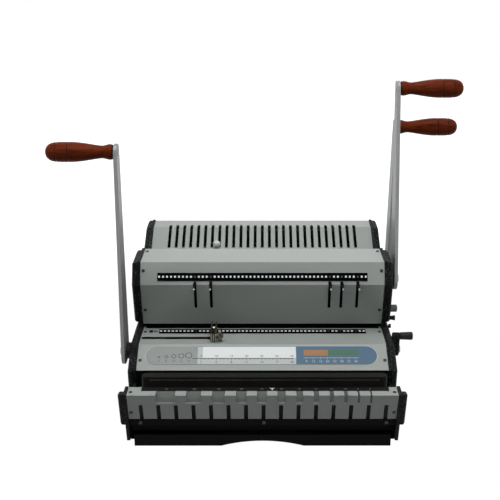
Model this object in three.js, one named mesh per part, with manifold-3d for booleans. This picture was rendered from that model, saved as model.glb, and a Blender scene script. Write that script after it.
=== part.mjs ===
// Desk binding machine: a front wire closer with a thickness gauge, a coil punch behind it and a
// second punch with a coarser pitch at the rear. Millimetres, X to the right, Y to the back, Z up.

import * as THREE from 'three';
import { mergeVertices } from 'three/addons/utils/BufferGeometryUtils.js';
import Module from 'manifold-3d';

// Stock and clearances
const fit = 0.3; // between pieces that touch
const sheet = 2; // bent panel sheet
const framePlate = 4.8;
const coverPlate = 7.6;
const pinCount = 53;
const pinPitch = 6.35;
const panelMargin = 30.4; // from the last pin to the panel's end
const panelWidth = (pinCount - 1) * pinPitch + panelMargin * 2;
const frameProud = 1.5; // frame plates stand this far over the panels
const coverForward = 4; // outer covers stand this far in front of the panels
const overrun = 5; // cutting bodies run this far past what they cut
const roundSides = 16;
const smallSides = 12;
const slotEndSides = 4;
const pinSides = 8;

// Front gauge unit
const gaugeHeight = 93;
const gaugeFootHeight = 47.8;
const gaugeLean = 18;
const ledgeDepth = 16;
const earDepth = 14;
const leftEarWidth = 19.3;
const rightEarWidth = 11.6;
const notchDepthShare = 0.321; // of the wall's height
const widestNotch = 27.6;
const notchCentreShares = [
  -0.716, -0.508, -0.325, -0.157, -0.005, 0.14, 0.273, 0.396, 0.51, 0.614, 0.708, 0.8,
];
const notchWidthShares = [1, 0.775, 0.67, 0.543, 0.529, 0.424, 0.351, 0.268, 0.21, 0.188, 0.109, 0.091];
const wallSlotCount = 15;
const wallSlotPitch = pinPitch * 4;
const wallSlotOffset = 1.4; // the row of slots sits a little to the right
const wallSlotWidth = 5.8;
const wallSlotShare = 0.588; // of the wall's height
const restPlateRise = 25.5; // foot of the plate behind the notches, above the wall's foot
const capDepth = 12;
const capDrop = 11.3; // foot of the caps below the wall's foot

// Closer trough
const troughDepth = 85;
const bedThickness = 4;
const bedSetback = 7; // from the front of the lower module
const crossbarFace = 20;
const crossbarDrop = 11;
const crossbarWebDepth = 12;
const crossbarTrayGap = 2.7;

// Lower module
const lowerFrontHeight = 83.5;
const lipDrop = 27.5;
const lipLean = 6;
const labelRun = 45;
const labelRise = 26;
const deckRun = 66;
const deckRise = 2;
const labelEndMargin = 14.5;
const labelLength = panelWidth - labelEndMargin * 2;
const labelWidth = 36;
const labelOffset = -1.5; // from the middle of the panel
const labelMargin = 5.2; // from the crease

// Upper module
const throatHeight = 8;
const throatLead = 12; // from the front of the throat to the die set
const upperLean = 25;
const upperFrontRise = 74.8;
const bandRun = 14;
const bandRise = 34.1;
const topRun = 73;
const topRise = 1.6;

// Rear module
const valleyRun = 74.5;
const rearDeckHeight = 190;
const rearThroat = 6;
const rearSlopeRun = 62.5;
const rearSlopeRise = 35.7;
const rearTopRun = 38;
const rearTopRise = 2.8;
const rearSlotCount = 27;
const rearSlotPitch = pinPitch * 2;
const rearSlotWidth = 5;
const rearSlotLength = 58;
const rearSlotOverTop = 12; // how far the slots run onto the top facet

// Punch pattern and strips
const pinWidth = 3.4;
const pinThickness = 3.6;
const rearPinWidth = 8;
const stripEndMargin = 3;
const filmThickness = 0.8; // strips and label
const stripWidth = 13;
const lowerStripWidth = 16.5;
const lowerStripSetback = 14.5; // strip centre line to the front foot of the upper module
const upperStripShare = 0.35; // place of the strip's centre line up the upper band
const pullPinCounts = [10, 14, 44, 47, 51]; // pins with a pull, counted from the left
const pullSlotWidth = 4.5;
const pullSlotLength = 49;
const pullSlotOverBand = 5;
const pullRodRadius = 1.8;
const pullCollarRadius = 2.9;
const pullCollarLength = 4.5;
const pullReach = 28; // tip in front of the nose of the upper module
const pullCollarGap = 0.8; // from the collar to the nose
const pullRise = 1.2; // above the nose of the upper module

// Die sets and punch beams
const dieDepth = 26;
const dieArm = 15.5; // lower arm of the upper die set
const guideArm = 16.5; // upper arm of the upper die set
const throatBack = 20; // depth of the throat inside a die set
const combSetback = 3; // front face of a die set to the pins
const strokeDown = 14;
const beamHeadHeight = 52;
const beamHeadFront = 2.7; // head in front of the pins
const beamHeadDepth = 9.7;
const pinTipClearance = 2.3; // pin tips above the throat at rest
const pullBore = 10;
const rearDieArm = 20;
const rearGuideArm = 7;
const rearDieSetback = 49.5; // die set behind the lip of the rear panel
const rearCombSetback = 12;
const rearStrokeDown = 10;
const rearHeadHeight = 12;
const rearHeadFront = 3;
const rearTipClearance = 1;
const stopDepth = 5; // paper stop in the throat
const stopSetback = 11;

// Side frames and outer covers
const frameFoot = 9;
const troughWall = 62; // height of the frame plates beside the trough
const valleyWall = 200; // height of the frame plates beside the rear deck
const coverFoot = 22;
const lowerCoverBack = 76; // behind the die set's front
const coverToeShare = 0.075; // how far up the front facet the upper covers start
const coverTopShort = 8; // the upper covers stop short of the back edge
const capHeightMargin = 1;

// Base and chip tray
const baseInset = 6; // floor of the base inside the panels' ends
const baseThickness = 2;
const baseFloor = 3;
const baseStep = 9.5;
const baseTop = 42;
const baseFront = 30;
const trayFrontFace = 25;
const trayFrontThickness = 3.5;
const trayFrontHeight = 18;
const trayFrontFoot = 1;
const trayHeight = 11.7;
const trayWall = 1.5;
const traySideGap = 1.5;
const trayBackGap = 5;
const archWidth = 122;
const archRise = 8;
const recessDepth = 18; // finger recess behind the arch
const recessMargin = 4; // on each side of the arch
const footRadius = 10;
const footInset = 24;

// Levers
const barThickness = 5.9;
const barFootRadius = 17.4;
const barFootSpread = 9.6; // corner centres beside the pivot
const barHeadRadius = 11;
const barHeadSpread = 3.5;
const shaftRadius = 8;
const hubRadius = 13;
const spigotRadius = 6;
const boltRadius = 8;
const boltHeight = 3;
const hubLength = 7.6;
const rearHubLength = 17.9;
const gripLength = 103;
const gripRadius = 15.4;
const gripDrop = 1; // grip axis below the head's centre
const gripShares = [
  [0, 0.62],
  [0.02, 0.72],
  [0.07, 0.75],
  [0.12, 0.72],
  [0.2, 0.635],
  [0.3, 0.7],
  [0.43, 0.86],
  [0.56, 0.97],
  [0.68, 1],
  [0.79, 0.99],
  [0.88, 0.93],
  [0.945, 0.78],
  [0.985, 0.5],
];
const closerLeverLength = 325;
const closerLeverLean = 2.3; // degrees, top towards the user
const closerPivotBehindCrease = 16;
const closerPivotBelowCrease = 17;
const punchLeverLength = 313;
const punchLeverLean = -6.8; // degrees
const punchPivotAheadOfBack = 16;
const punchPivotBelowTop = 46;
const rearLeverLength = 317;
const rearLeverLean = 8.9; // degrees
const rearPivotAheadOfBack = 15;
const rearPivotBelowTop = 129.5;
const camReach = 14;
const camTipRadius = 4;
const camThickness = 8;
const camPlace = 110; // from the middle of the shaft

// Closer bar
const closerEndGap = 11.5; // from the bar to the panel's end, were it in the middle
const closerLength = panelWidth - closerEndGap * 2;
const closerOffset = 3; // to the right of the middle
const closerDepth = 17;
const closerHeight = 24;
const closerTop = 95;
const closerSetback = 36; // in front of the lower module
const armThickness = 8;
const armPlace = 120;
const armBossRadius = 14;
const armHeight = 11;
const armDip = 4;
const armRunUnder = 35; // how far the arm runs level under the label panel
const armSlotGap = 2;

// Closing stop crank
const crankBehindCrease = 46;
const crankBelowCrease = 26.5;
const crankShaftRadius = 6;
const crankLength = 29;
const crankLean = 22; // degrees
const crankThickness = 12.2;
const crankFootRadius = 11;
const crankHeadRadius = 5.8;
const crankHandleLength = 20.5;
const crankHandleRadius = 6.6;
const crankStandoff = 1;
const crankEndProud = 2.5;
const stopDiscRadius = 14;
const stopDiscOffset = 5;
const stopDiscPlace = 150;

// Side knobs
const marginKnobRadius = 6;
const marginKnobLength = 12.4;
const marginKnobBack = 4; // behind the foot of the upper module
const marginKnobRise = 25.5;
const lockKnobRadius = 4;
const lockKnobLength = 10.4;
const lockKnobBack = 12;
const lockKnobRise = 6;
const knobStemRadius = 2.5;

// Edge guides
const guideSlotWidth = 9.6;
const guideSlotMargin = 1.5;
const guideSlotStart = guideSlotMargin - panelWidth / 2;
const guideSlotEnd = -72;
const lowerSlotBehindCrease = 25.5;
const guidePlace = -78;
const guideWidth = 9;
const guideWall = 1.8;
const guideHeight = 16.5;
const guideLength = 46;
const guideAhead = 20; // channel in front of its slot
const tongueLength = 2;
const tongueWidth = 7.8;
const guideKnobRadius = 6.8;
const guideKnobLength = 11.5;
const guideKnobAhead = 15.5;
const guideKnobHeight = 7.3;
const guideStemRadius = 1.7;
const rearGuideBehind = 36.5; // behind the upper module
const rearGuideHeight = 34.5;
const rearGuidePost = 10;
const rearGuideFoot = 26;
const rearGuideFootHeight = 3;
const rearKnobRadius = 6.3;
const rearKnobHeight = 8.8;
const rearStemLength = 10;

const place = (y, z) => new THREE.Vector2(y, z);
const step = (start, run, rise) => place(start.x + run, start.y + rise);

// Stations of the side profile, from front to back
const gaugeEdge = place(0, gaugeHeight);
const gaugeFoot = place(gaugeLean, gaugeFootHeight);
const gaugeWall = gaugeHeight - gaugeFootHeight;
const ledgeBack = step(gaugeEdge, ledgeDepth, 0);
const earBack = step(ledgeBack, earDepth, 0);
const lowerFront = place(earBack.x + troughDepth, lowerFrontHeight);
const lowerLip = step(lowerFront, lipLean, -lipDrop);
const lowerCrease = step(lowerFront, labelRun, labelRise);
const deckBack = step(lowerCrease, deckRun, deckRise);
const crossBack = crossbarFace + bedThickness;
const webBack = crossBack + crossbarWebDepth;
const webFoot = trayFrontFoot + trayFrontHeight + crossbarTrayGap;
const upperFoot = step(deckBack, 0, throatHeight);
const upperNose = step(upperFoot, -upperLean, upperFrontRise);
const upperCrease = step(upperNose, bandRun, bandRise);
const upperBack = step(upperCrease, topRun, topRise);
const rearLip = place(upperBack.x + valleyRun, rearDeckHeight + rearThroat);
const rearCrease = step(rearLip, rearSlopeRun, rearSlopeRise);
const rearBack = step(rearCrease, rearTopRun, rearTopRise);
const dieFront = deckBack.x + throatLead;
const rearDieFront = rearLip.x + rearDieSetback;

const halfPanel = panelWidth / 2;
const plateInner = halfPanel + fit;
const plateOuter = plateInner + framePlate;
const coverInner = plateOuter + fit;
const coverOuter = coverInner + coverPlate;

const closerPivot = step(lowerCrease, closerPivotBehindCrease, -closerPivotBelowCrease);
const punchPivot = step(upperBack, -punchPivotAheadOfBack, -punchPivotBelowTop);
const rearPivot = step(rearBack, -rearPivotAheadOfBack, -rearPivotBelowTop);
const crankPivot = step(lowerCrease, crankBehindCrease, -crankBelowCrease);
const marginPivot = step(upperFoot, marginKnobBack, marginKnobRise);
const lockPivot = step(upperFoot, lockKnobBack, lockKnobRise);

// Finishes
const finish = (color, roughness, metalness) => ({ color, roughness, metalness });
const panelPaint = finish(0xb3bbb7, 0.5, 0.1);
const blackTexture = finish(0x1c1d1f, 0.75, 0);
const blackSatin = finish(0x191817, 0.45, 0.1);
const satinSteel = finish(0xa4a9a7, 0.38, 0.8);
const machinedSteel = finish(0x7d8284, 0.4, 0.9);
const darkSteel = finish(0x33373a, 0.5, 0.7);
const turnedWood = finish(0x7c2f1c, 0.45, 0);
const brassPlate = finish(0x8f8568, 0.4, 0.7);
const whitePlastic = finish(0xdfe2dc, 0.4, 0);
const labelFilm = finish(0xc4cfd2, 0.35, 0);
const blackRubber = finish(0x141414, 0.9, 0);

// Solids: a merged mesh for cutting and joining, and back to a geometry
const wasm = await Module();
wasm.setup();

function toSolid(geometry) {
  const bare = geometry.clone();
  for (const name of Object.keys(bare.attributes)) {
    if (name !== 'position') bare.deleteAttribute(name);
  }
  const merged = mergeVertices(bare);
  const triangles = [];
  for (let i = 0; i < merged.index.count; i += 3) {
    const [a, b, c] = [0, 1, 2].map((k) => merged.index.getX(i + k));
    if (a !== b && b !== c && c !== a) triangles.push(a, b, c);
  }
  return new wasm.Manifold(
    new wasm.Mesh({
      numProp: 3,
      vertProperties: new Float32Array(merged.attributes.position.array),
      triVerts: new Uint32Array(triangles),
    }),
  );
}

function toGeometry(solid) {
  const mesh = solid.getMesh();
  const geometry = new THREE.BufferGeometry();
  geometry.setAttribute('position', new THREE.BufferAttribute(mesh.vertProperties, 3));
  geometry.setIndex(new THREE.BufferAttribute(mesh.triVerts, 1));
  const flat = geometry.toNonIndexed();
  flat.computeVertexNormals();
  return flat;
}

function cut(geometry, tools) {
  let solid = toSolid(geometry);
  for (const tool of tools) solid = solid.subtract(toSolid(tool));
  return toGeometry(solid);
}

function join(geometry, others) {
  let solid = toSolid(geometry);
  for (const other of others) solid = solid.add(toSolid(other));
  return toGeometry(solid);
}

// Where a prism's outline lies: the outline's two directions and the direction it is drawn along
const alongX = new THREE.Matrix4().set(0, 0, 1, 0, 1, 0, 0, 0, 0, 1, 0, 0, 0, 0, 0, 1);
const alongY = new THREE.Matrix4().set(1, 0, 0, 0, 0, 0, -1, 0, 0, 1, 0, 0, 0, 0, 0, 1);

function prism(outline, start, end, direction, arcSides = roundSides) {
  const shape = outline instanceof THREE.Shape ? outline : new THREE.Shape(outline);
  const options = { depth: end - start, bevelEnabled: false, curveSegments: arcSides / 2 };
  const geometry = new THREE.ExtrudeGeometry(shape, options);
  if (direction === 'x') return geometry.applyMatrix4(alongX).translate(start, 0, 0);
  if (direction === 'y') return geometry.applyMatrix4(alongY).translate(0, end, 0);
  return geometry.translate(0, 0, start);
}

// A box between two corners
function block(x0, x1, y0, y1, z0, z1) {
  const geometry = new THREE.BoxGeometry(x1 - x0, y1 - y0, z1 - z0);
  return geometry.translate((x0 + x1) / 2, (y0 + y1) / 2, (z0 + z1) / 2);
}

// A disc or rod along X, centred in Y and Z on the given place
function rodX(centre, radius, start, end, sides = roundSides) {
  const geometry = new THREE.CylinderGeometry(radius, radius, end - start, sides);
  return geometry.rotateZ(-Math.PI / 2).translate((start + end) / 2, centre.x, centre.y);
}

// A turned piece along +X from pairs of radius and length along the axis
function turned(profile, sides = roundSides) {
  const points = profile.map(([radius, along]) => new THREE.Vector2(radius, along));
  return new THREE.LatheGeometry(points, sides).rotateZ(-Math.PI / 2);
}

function roundHole(shape, centre, radius) {
  const hole = new THREE.Path();
  hole.absarc(centre.x, centre.y, radius, 0, 2 * Math.PI, false);
  shape.holes.push(hole);
}

// The path moved sideways by a distance, to its left when positive, with mitred corners
function offsetPath(path, distance) {
  const normals = [];
  for (let i = 0; i + 1 < path.length; i += 1) {
    const along = path[i + 1].clone().sub(path[i]).normalize();
    normals.push(place(-along.y, along.x));
  }
  return path.map((point, i) => {
    const before = normals[Math.max(i - 1, 0)];
    const after = normals[Math.min(i, normals.length - 1)];
    const middle = before.clone().add(after).normalize();
    return point.clone().addScaledVector(middle, distance / middle.dot(before));
  });
}

// Sheet bent along its outer skin, with the outer side to the left of the path
function bentSheet(skin) {
  const inner = offsetPath(skin, -sheet).reverse();
  return prism([...skin, ...inner], -halfPanel, halfPanel, 'x');
}

// Flat bar with round ends: the foot round the origin, the head a length above it
function barShape(footRadius_, headRadius, length) {
  const tilt = Math.asin((footRadius_ - headRadius) / length);
  const shape = new THREE.Shape();
  shape.absarc(0, 0, footRadius_, Math.PI - tilt, 2 * Math.PI + tilt, false);
  shape.absarc(0, length, headRadius, tilt, Math.PI - tilt, false);
  shape.closePath();
  return shape;
}

// Lever bar with rounded corners: a wide foot round the pivot, straight sides, a narrower head
function leverBarShape(length) {
  const spread = barFootSpread - barHeadSpread;
  const slope = Math.asin((barFootRadius - barHeadRadius) / Math.hypot(spread, length));
  const tangent = slope + Math.atan2(spread, length);
  const shape = new THREE.Shape();
  shape.absarc(barFootSpread, 0, barFootRadius, -Math.PI / 2, tangent, false);
  shape.absarc(barHeadSpread, length, barHeadRadius, tangent, Math.PI / 2, false);
  shape.absarc(-barHeadSpread, length, barHeadRadius, Math.PI / 2, Math.PI - tangent, false);
  shape.absarc(-barFootSpread, 0, barFootRadius, Math.PI - tangent, (3 * Math.PI) / 2, false);
  shape.closePath();
  return shape;
}

// Long shape with half-round ends, centred on the origin
function stadium(length, width) {
  const radius = width / 2;
  const reach = length / 2 - radius;
  const shape = new THREE.Shape();
  shape.absarc(reach, 0, radius, -Math.PI / 2, Math.PI / 2, false);
  shape.absarc(-reach, 0, radius, Math.PI / 2, (3 * Math.PI) / 2, false);
  shape.closePath();
  return shape;
}

const machine = new THREE.Group();

function add(parent, name, geometry, look, x = 0, y = 0, z = 0) {
  const mesh = new THREE.Mesh(geometry, new THREE.MeshStandardMaterial(look));
  mesh.name = name;
  mesh.position.set(x, y, z);
  parent.add(mesh);
  return mesh;
}

// A piece for each side, drawn on the right and turned for the left
function addPair(name, makeGeometry, look) {
  for (const [side, sign] of [['left', -1], ['right', 1]]) {
    add(machine, `${side}_${name}`, makeGeometry(sign), look);
  }
}

const zOnLine = (a, b, y) => a.y + ((b.y - a.y) * (y - a.x)) / (b.x - a.x);
const yOnLine = (a, b, z) => a.x + ((b.x - a.x) * (z - a.y)) / (b.y - a.y);

// Front gauge panel: leaning wall, ledge with graded notches, an ear at each end
function gaugePanel() {
  const skin = [gaugeFoot, gaugeEdge, ledgeBack];
  const ears = [-1, 1].map((sign) => {
    const left = [-halfPanel, -halfPanel + leftEarWidth];
    const [x0, x1] = sign < 0 ? left : [halfPanel - rightEarWidth, halfPanel];
    return block(x0, x1, ledgeBack.x - sheet, earBack.x, gaugeHeight - sheet, gaugeHeight);
  });
  const tools = [];
  notchCentreShares.forEach((share, i) => {
    const centre = share * halfPanel;
    const half = (notchWidthShares[i] * widestNotch) / 2;
    const floor = gaugeHeight - notchDepthShare * gaugeWall;
    const back = ledgeBack.x + overrun;
    tools.push(block(centre - half, centre + half, -overrun, back, floor, gaugeHeight + overrun));
  });
  for (let i = 0; i < wallSlotCount; i += 1) {
    const centre = wallSlotOffset + (i - (wallSlotCount - 1) / 2) * wallSlotPitch;
    const half = wallSlotWidth / 2;
    const top = gaugeFoot.y + wallSlotShare * gaugeWall;
    const back = gaugeFoot.x + sheet + overrun;
    tools.push(block(centre - half, centre + half, -overrun, back, gaugeFoot.y - overrun, top));
  }
  return cut(join(bentSheet(skin), ears), tools);
}

function buildFront() {
  const restLeft = -halfPanel + leftEarWidth + fit;
  const restRight = halfPanel - rightEarWidth - fit;
  const restFront = ledgeBack.x + fit;
  const crossFoot = gaugeFoot.y - fit - crossbarDrop;
  const crossSection = [
    place(crossbarFace, gaugeFoot.y - fit),
    place(crossBack, gaugeFoot.y - fit),
    place(crossBack, crossFoot + sheet),
    place(webBack, crossFoot + sheet),
    place(webBack, webFoot),
    place(webBack - sheet, webFoot),
    place(webBack - sheet, crossFoot),
    place(crossbarFace, crossFoot),
  ];
  add(machine, 'gauge_panel', gaugePanel(), panelPaint);
  const restTop = gaugeHeight - fit;
  const restSection = [
    place(restFront, gaugeFoot.y + restPlateRise),
    place(restFront + sheet, gaugeFoot.y + restPlateRise),
    place(restFront + sheet, restTop - sheet),
    place(earBack.x, restTop - sheet),
    place(earBack.x, restTop),
    place(restFront, restTop),
  ];
  add(machine, 'gauge_back_plate', prism(restSection, restLeft, restRight, 'x'), panelPaint);
  add(machine, 'front_crossbar', prism(crossSection, -halfPanel, halfPanel, 'x'), blackSatin);
  add(
    machine,
    'closer_bed',
    block(
      -halfPanel,
      halfPanel,
      crossBack + fit,
      lowerFront.x - bedSetback,
      gaugeFoot.y - bedThickness,
      gaugeFoot.y,
    ),
    darkSteel,
  );
  addPair('front_cap', (sign) => {
    const top = gaugeHeight + frameProud - capHeightMargin;
    const foot = gaugeFoot.y - capDrop;
    const wallTop = place(gaugeEdge.x + frameProud, top);
    const outline = [
      wallTop,
      step(wallTop, capDepth, 0),
      place(gaugeLean + capDepth + coverForward * 2, foot),
      place(gaugeLean + coverForward, foot),
    ];
    return sidePlate(outline, coverInner, coverOuter, sign, []);
  }, blackTexture);
}

// A plate in the YZ plane on the right or, with sign -1, on the left
function sidePlate(outline, inner, outer, sign, holes) {
  const shape = new THREE.Shape(outline);
  for (const [centre, radius] of holes) roundHole(shape, centre, radius);
  const [start, end] = sign < 0 ? [-outer, -inner] : [inner, outer];
  return prism(shape, start, end, 'x');
}

// Bores that pass each side, with their running clearance
function boresOf(sign) {
  const bores = {
    closer: [closerPivot, shaftRadius + fit],
    punch: [punchPivot, shaftRadius + fit],
    rear: [rearPivot, shaftRadius + fit],
    crank: [crankPivot, crankShaftRadius + fit],
    margin: [marginPivot, knobStemRadius + fit],
    lock: [lockPivot, knobStemRadius + fit],
  };
  const { closer, punch, rear, crank, margin, lock } = bores;
  if (sign < 0) return { frame: [closer, punch, rear], lower: [closer], upper: [], rear: [] };
  return {
    frame: [closer, punch, rear, crank, margin, lock],
    lower: [crank],
    upper: [punch, margin, lock],
    rear: [rear],
  };
}

function buildSides() {
  const front = gaugeEdge.x;
  const back = rearBack.x + frameProud;
  addPair('frame_plate', (sign) => {
    const lower = offsetPath([lowerLip, lowerFront, lowerCrease, deckBack], frameProud);
    const upper = offsetPath([upperFoot, upperNose, upperCrease, upperBack], frameProud);
    const rear = offsetPath([rearLip, rearCrease, rearBack], frameProud);
    const outline = [
      place(trayFrontFace + frameProud, frameFoot),
      place(gaugeLean - frameProud, gaugeFoot.y - crossbarDrop),
      place(front, gaugeHeight + frameProud),
      place(earBack.x, gaugeHeight + frameProud),
      place(earBack.x + sheet, troughWall),
      place(lower[0].x, troughWall),
      ...lower.slice(1),
      ...upper,
      place(upperBack.x + coverForward, valleyWall),
      place(rearLip.x - coverForward, valleyWall),
      ...rear.slice(1, -1),
      place(back, rearBack.y + frameProud),
      place(back, frameFoot),
    ];
    return sidePlate(outline, plateInner, plateOuter, sign, boresOf(sign).frame);
  }, blackSatin);

  addPair('lower_cover', (sign) => {
    const shifted = [lowerLip, lowerFront, lowerCrease].map((p) => step(p, -coverForward, 0));
    const outline = [
      place(lowerLip.x, coverFoot),
      ...shifted,
      place(deckBack.x + throatLead * 2, deckBack.y + frameProud),
      place(dieFront + lowerCoverBack, deckBack.y + frameProud),
      place(dieFront + lowerCoverBack, coverFoot),
    ];
    return sidePlate(outline, coverInner, coverOuter, sign, boresOf(sign).lower);
  }, blackTexture);

  addPair('upper_cover', (sign) => {
    const toe = upperFoot.clone().lerp(upperNose, coverToeShare);
    const shifted = [toe, upperNose, upperCrease].map((p) => step(p, -coverForward, 0));
    const outline = [
      ...shifted,
      step(upperBack, -coverTopShort, 0),
      step(upperBack, 0, -coverTopShort * 2),
      place(upperBack.x, deckBack.y + frameProud + fit * 2),
      place(deckBack.x + throatLead * 2, deckBack.y + frameProud + fit * 2),
    ];
    return sidePlate(outline, coverInner, coverOuter, sign, boresOf(sign).upper);
  }, blackTexture);

  addPair('rear_cover', (sign) => {
    const shifted = [rearLip, rearCrease].map((p) => step(p, -coverForward, 0));
    const frontEdge = dieFront + lowerCoverBack + fit;
    const outline = [
      place(frontEdge, coverFoot),
      place(frontEdge, deckBack.y + frameProud),
      ...shifted,
      step(rearBack, 0, 0),
      place(back, rearBack.y - coverTopShort),
      place(back, coverFoot),
    ];
    return sidePlate(outline, coverInner, coverOuter, sign, boresOf(sign).rear);
  }, blackTexture);
}

// Centre and tilt of a thin plate that lies on the facet from a to b, along that far up it
function facetSeat(a, b, along) {
  const direction = b.clone().sub(a).normalize();
  const outward = place(-direction.y, direction.x);
  const lift = fit + filmThickness / 2;
  const centre = a.clone().addScaledVector(direction, along).addScaledVector(outward, lift);
  return { centre, tilt: Math.atan2(direction.y, direction.x) };
}

function addFilm(name, geometry, look, seat, x) {
  const mesh = add(machine, name, geometry, look, x, seat.centre.x, seat.centre.y);
  mesh.rotation.x = seat.tilt;
}

// Strip that marks the place of every pin
function pinStrip(width) {
  const length = (pinCount - 1) * pinPitch + 2 * stripEndMargin;
  return new THREE.BoxGeometry(length, width, filmThickness);
}

function buildLowerModule() {
  const deckEnd = dieFront - fit;
  const skin = [
    lowerLip,
    lowerFront,
    lowerCrease,
    place(deckEnd, zOnLine(lowerCrease, deckBack, deckEnd)),
  ];
  const slotY = lowerCrease.x + lowerSlotBehindCrease;
  const guideSlot = block(
    guideSlotStart,
    guideSlotEnd,
    slotY - guideSlotWidth / 2,
    slotY + guideSlotWidth / 2,
    lowerCrease.y - sheet - overrun,
    lowerCrease.y + overrun,
  );
  const lipTop = lowerFront.y - sheet * 2;
  const armSlots = [-armPlace, armPlace].map((x) => {
    const half = armThickness / 2 + armSlotGap;
    const lipBack = lowerLip.x + sheet + overrun;
    return block(x - half, x + half, lowerFront.x - overrun, lipBack, lowerLip.y - overrun, lipTop);
  });
  add(machine, 'lower_deck_panel', cut(bentSheet(skin), [guideSlot, ...armSlots]), panelPaint);

  const deckLength = lowerCrease.distanceTo(deckBack);
  const stripSeat = facetSeat(lowerCrease, deckBack, deckLength - lowerStripSetback);
  addFilm('lower_pin_strip', pinStrip(lowerStripWidth), blackSatin, stripSeat, 0);

  const slopeLength = lowerFront.distanceTo(lowerCrease);
  const labelSeat = facetSeat(lowerFront, lowerCrease, slopeLength - labelMargin - labelWidth / 2);
  const label = prism(stadium(labelLength, labelWidth), -filmThickness / 2, filmThickness / 2, 'z');
  addFilm('label_plate', label, labelFilm, labelSeat, labelOffset);
}

const pullPlaces = pullPinCounts.map((pin) => (pin - (pinCount + 1) / 2) * pinPitch);
const pullHeight = upperNose.y + pullRise;
const combFront = dieFront + combSetback;
const throatFloor = deckBack.y;
const guideTop = upperFoot.y + guideArm;

function buildUpperModule() {
  const wallFoot = rearDeckHeight + sheet;
  const skin = [
    place(dieFront - fit, upperFoot.y),
    upperFoot,
    upperNose,
    upperCrease,
    upperBack,
    place(upperBack.x, wallFoot),
  ];
  const slots = pullPlaces.map((x) => {
    const top = upperNose.y + pullSlotOverBand;
    const half = pullSlotWidth / 2;
    const front = upperNose.x - overrun;
    const back = upperFoot.x + overrun;
    return block(x - half, x + half, front, back, top - pullSlotLength, top);
  });
  add(machine, 'upper_housing_panel', cut(bentSheet(skin), slots), panelPaint);
  const bandLength = upperNose.distanceTo(upperCrease);
  const stripSeat = facetSeat(upperNose, upperCrease, bandLength * upperStripShare);
  addFilm('upper_pin_strip', pinStrip(stripWidth), blackSatin, stripSeat, 0);
  add(machine, 'upper_die_set', dieSet(dieFront, throatFloor, upperFoot.y, dieArm, guideArm, combSetback,
    (pinCount - 1) * pinPitch + pinWidth), machinedSteel);
}

// Lower die and upper guide in one block, with the paper throat between them and a slot for the pins
function dieSet(front, floor, roof, lowerArm, upperArm, setback, pinSpan) {
  const section = [
    place(front, floor - lowerArm),
    place(front + dieDepth, floor - lowerArm),
    place(front + dieDepth, roof + upperArm),
    place(front, roof + upperArm),
    place(front, roof),
    place(front + throatBack, roof),
    place(front + throatBack, floor),
    place(front, floor),
  ];
  const half = pinSpan / 2 + fit;
  const slotFront = front + setback - fit;
  const slotBack = front + setback + pinThickness + fit;
  const slot = block(
    -half,
    half,
    slotFront,
    slotBack,
    floor - lowerArm - overrun,
    roof + upperArm + overrun,
  );
  return cut(prism(section, -halfPanel, halfPanel, 'x'), [slot]);
}

function buildRearModule() {
  const deckStart = upperBack.x + fit;
  const deckEnd = rearDieFront - fit;
  const slotY = upperBack.x + rearGuideBehind;
  const deck = block(-halfPanel, halfPanel, deckStart, deckEnd, rearDeckHeight - sheet, rearDeckHeight);
  const guideSlot = block(
    guideSlotStart,
    guideSlotEnd,
    slotY - guideSlotWidth / 2,
    slotY + guideSlotWidth / 2,
    rearDeckHeight - sheet - overrun,
    rearDeckHeight + overrun,
  );
  add(machine, 'rear_deck_panel', cut(deck, [guideSlot]), panelPaint);

  const skin = [
    place(deckEnd, rearLip.y),
    rearLip,
    rearCrease,
    rearBack,
    place(rearBack.x, rearLip.y),
  ];
  const slotMiddle = rearCrease.x + rearSlotOverTop - rearSlotLength / 2;
  const tools = [];
  for (let i = 0; i < rearSlotCount; i += 1) {
    const x = (i - (rearSlotCount - 1) / 2) * rearSlotPitch;
    const cutter = prism(stadium(rearSlotLength, rearSlotWidth), rearLip.y + sheet * 2,
      rearBack.y + overrun, 'z', slotEndSides);
    tools.push(cutter.rotateZ(Math.PI / 2).translate(x, slotMiddle, 0));
  }
  add(machine, 'rear_housing_panel', cut(bentSheet(skin), tools), panelPaint);
  add(
    machine,
    'back_cover',
    block(-halfPanel, halfPanel, rearBack.x - sheet, rearBack.x, coverFoot, rearLip.y - fit),
    blackSatin,
  );
  add(machine, 'rear_die_set', dieSet(rearDieFront, rearDeckHeight, rearLip.y, rearDieArm, rearGuideArm,
    rearCombSetback, (rearSlotCount - 1) * rearSlotPitch + rearPinWidth), machinedSteel);
}

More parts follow.
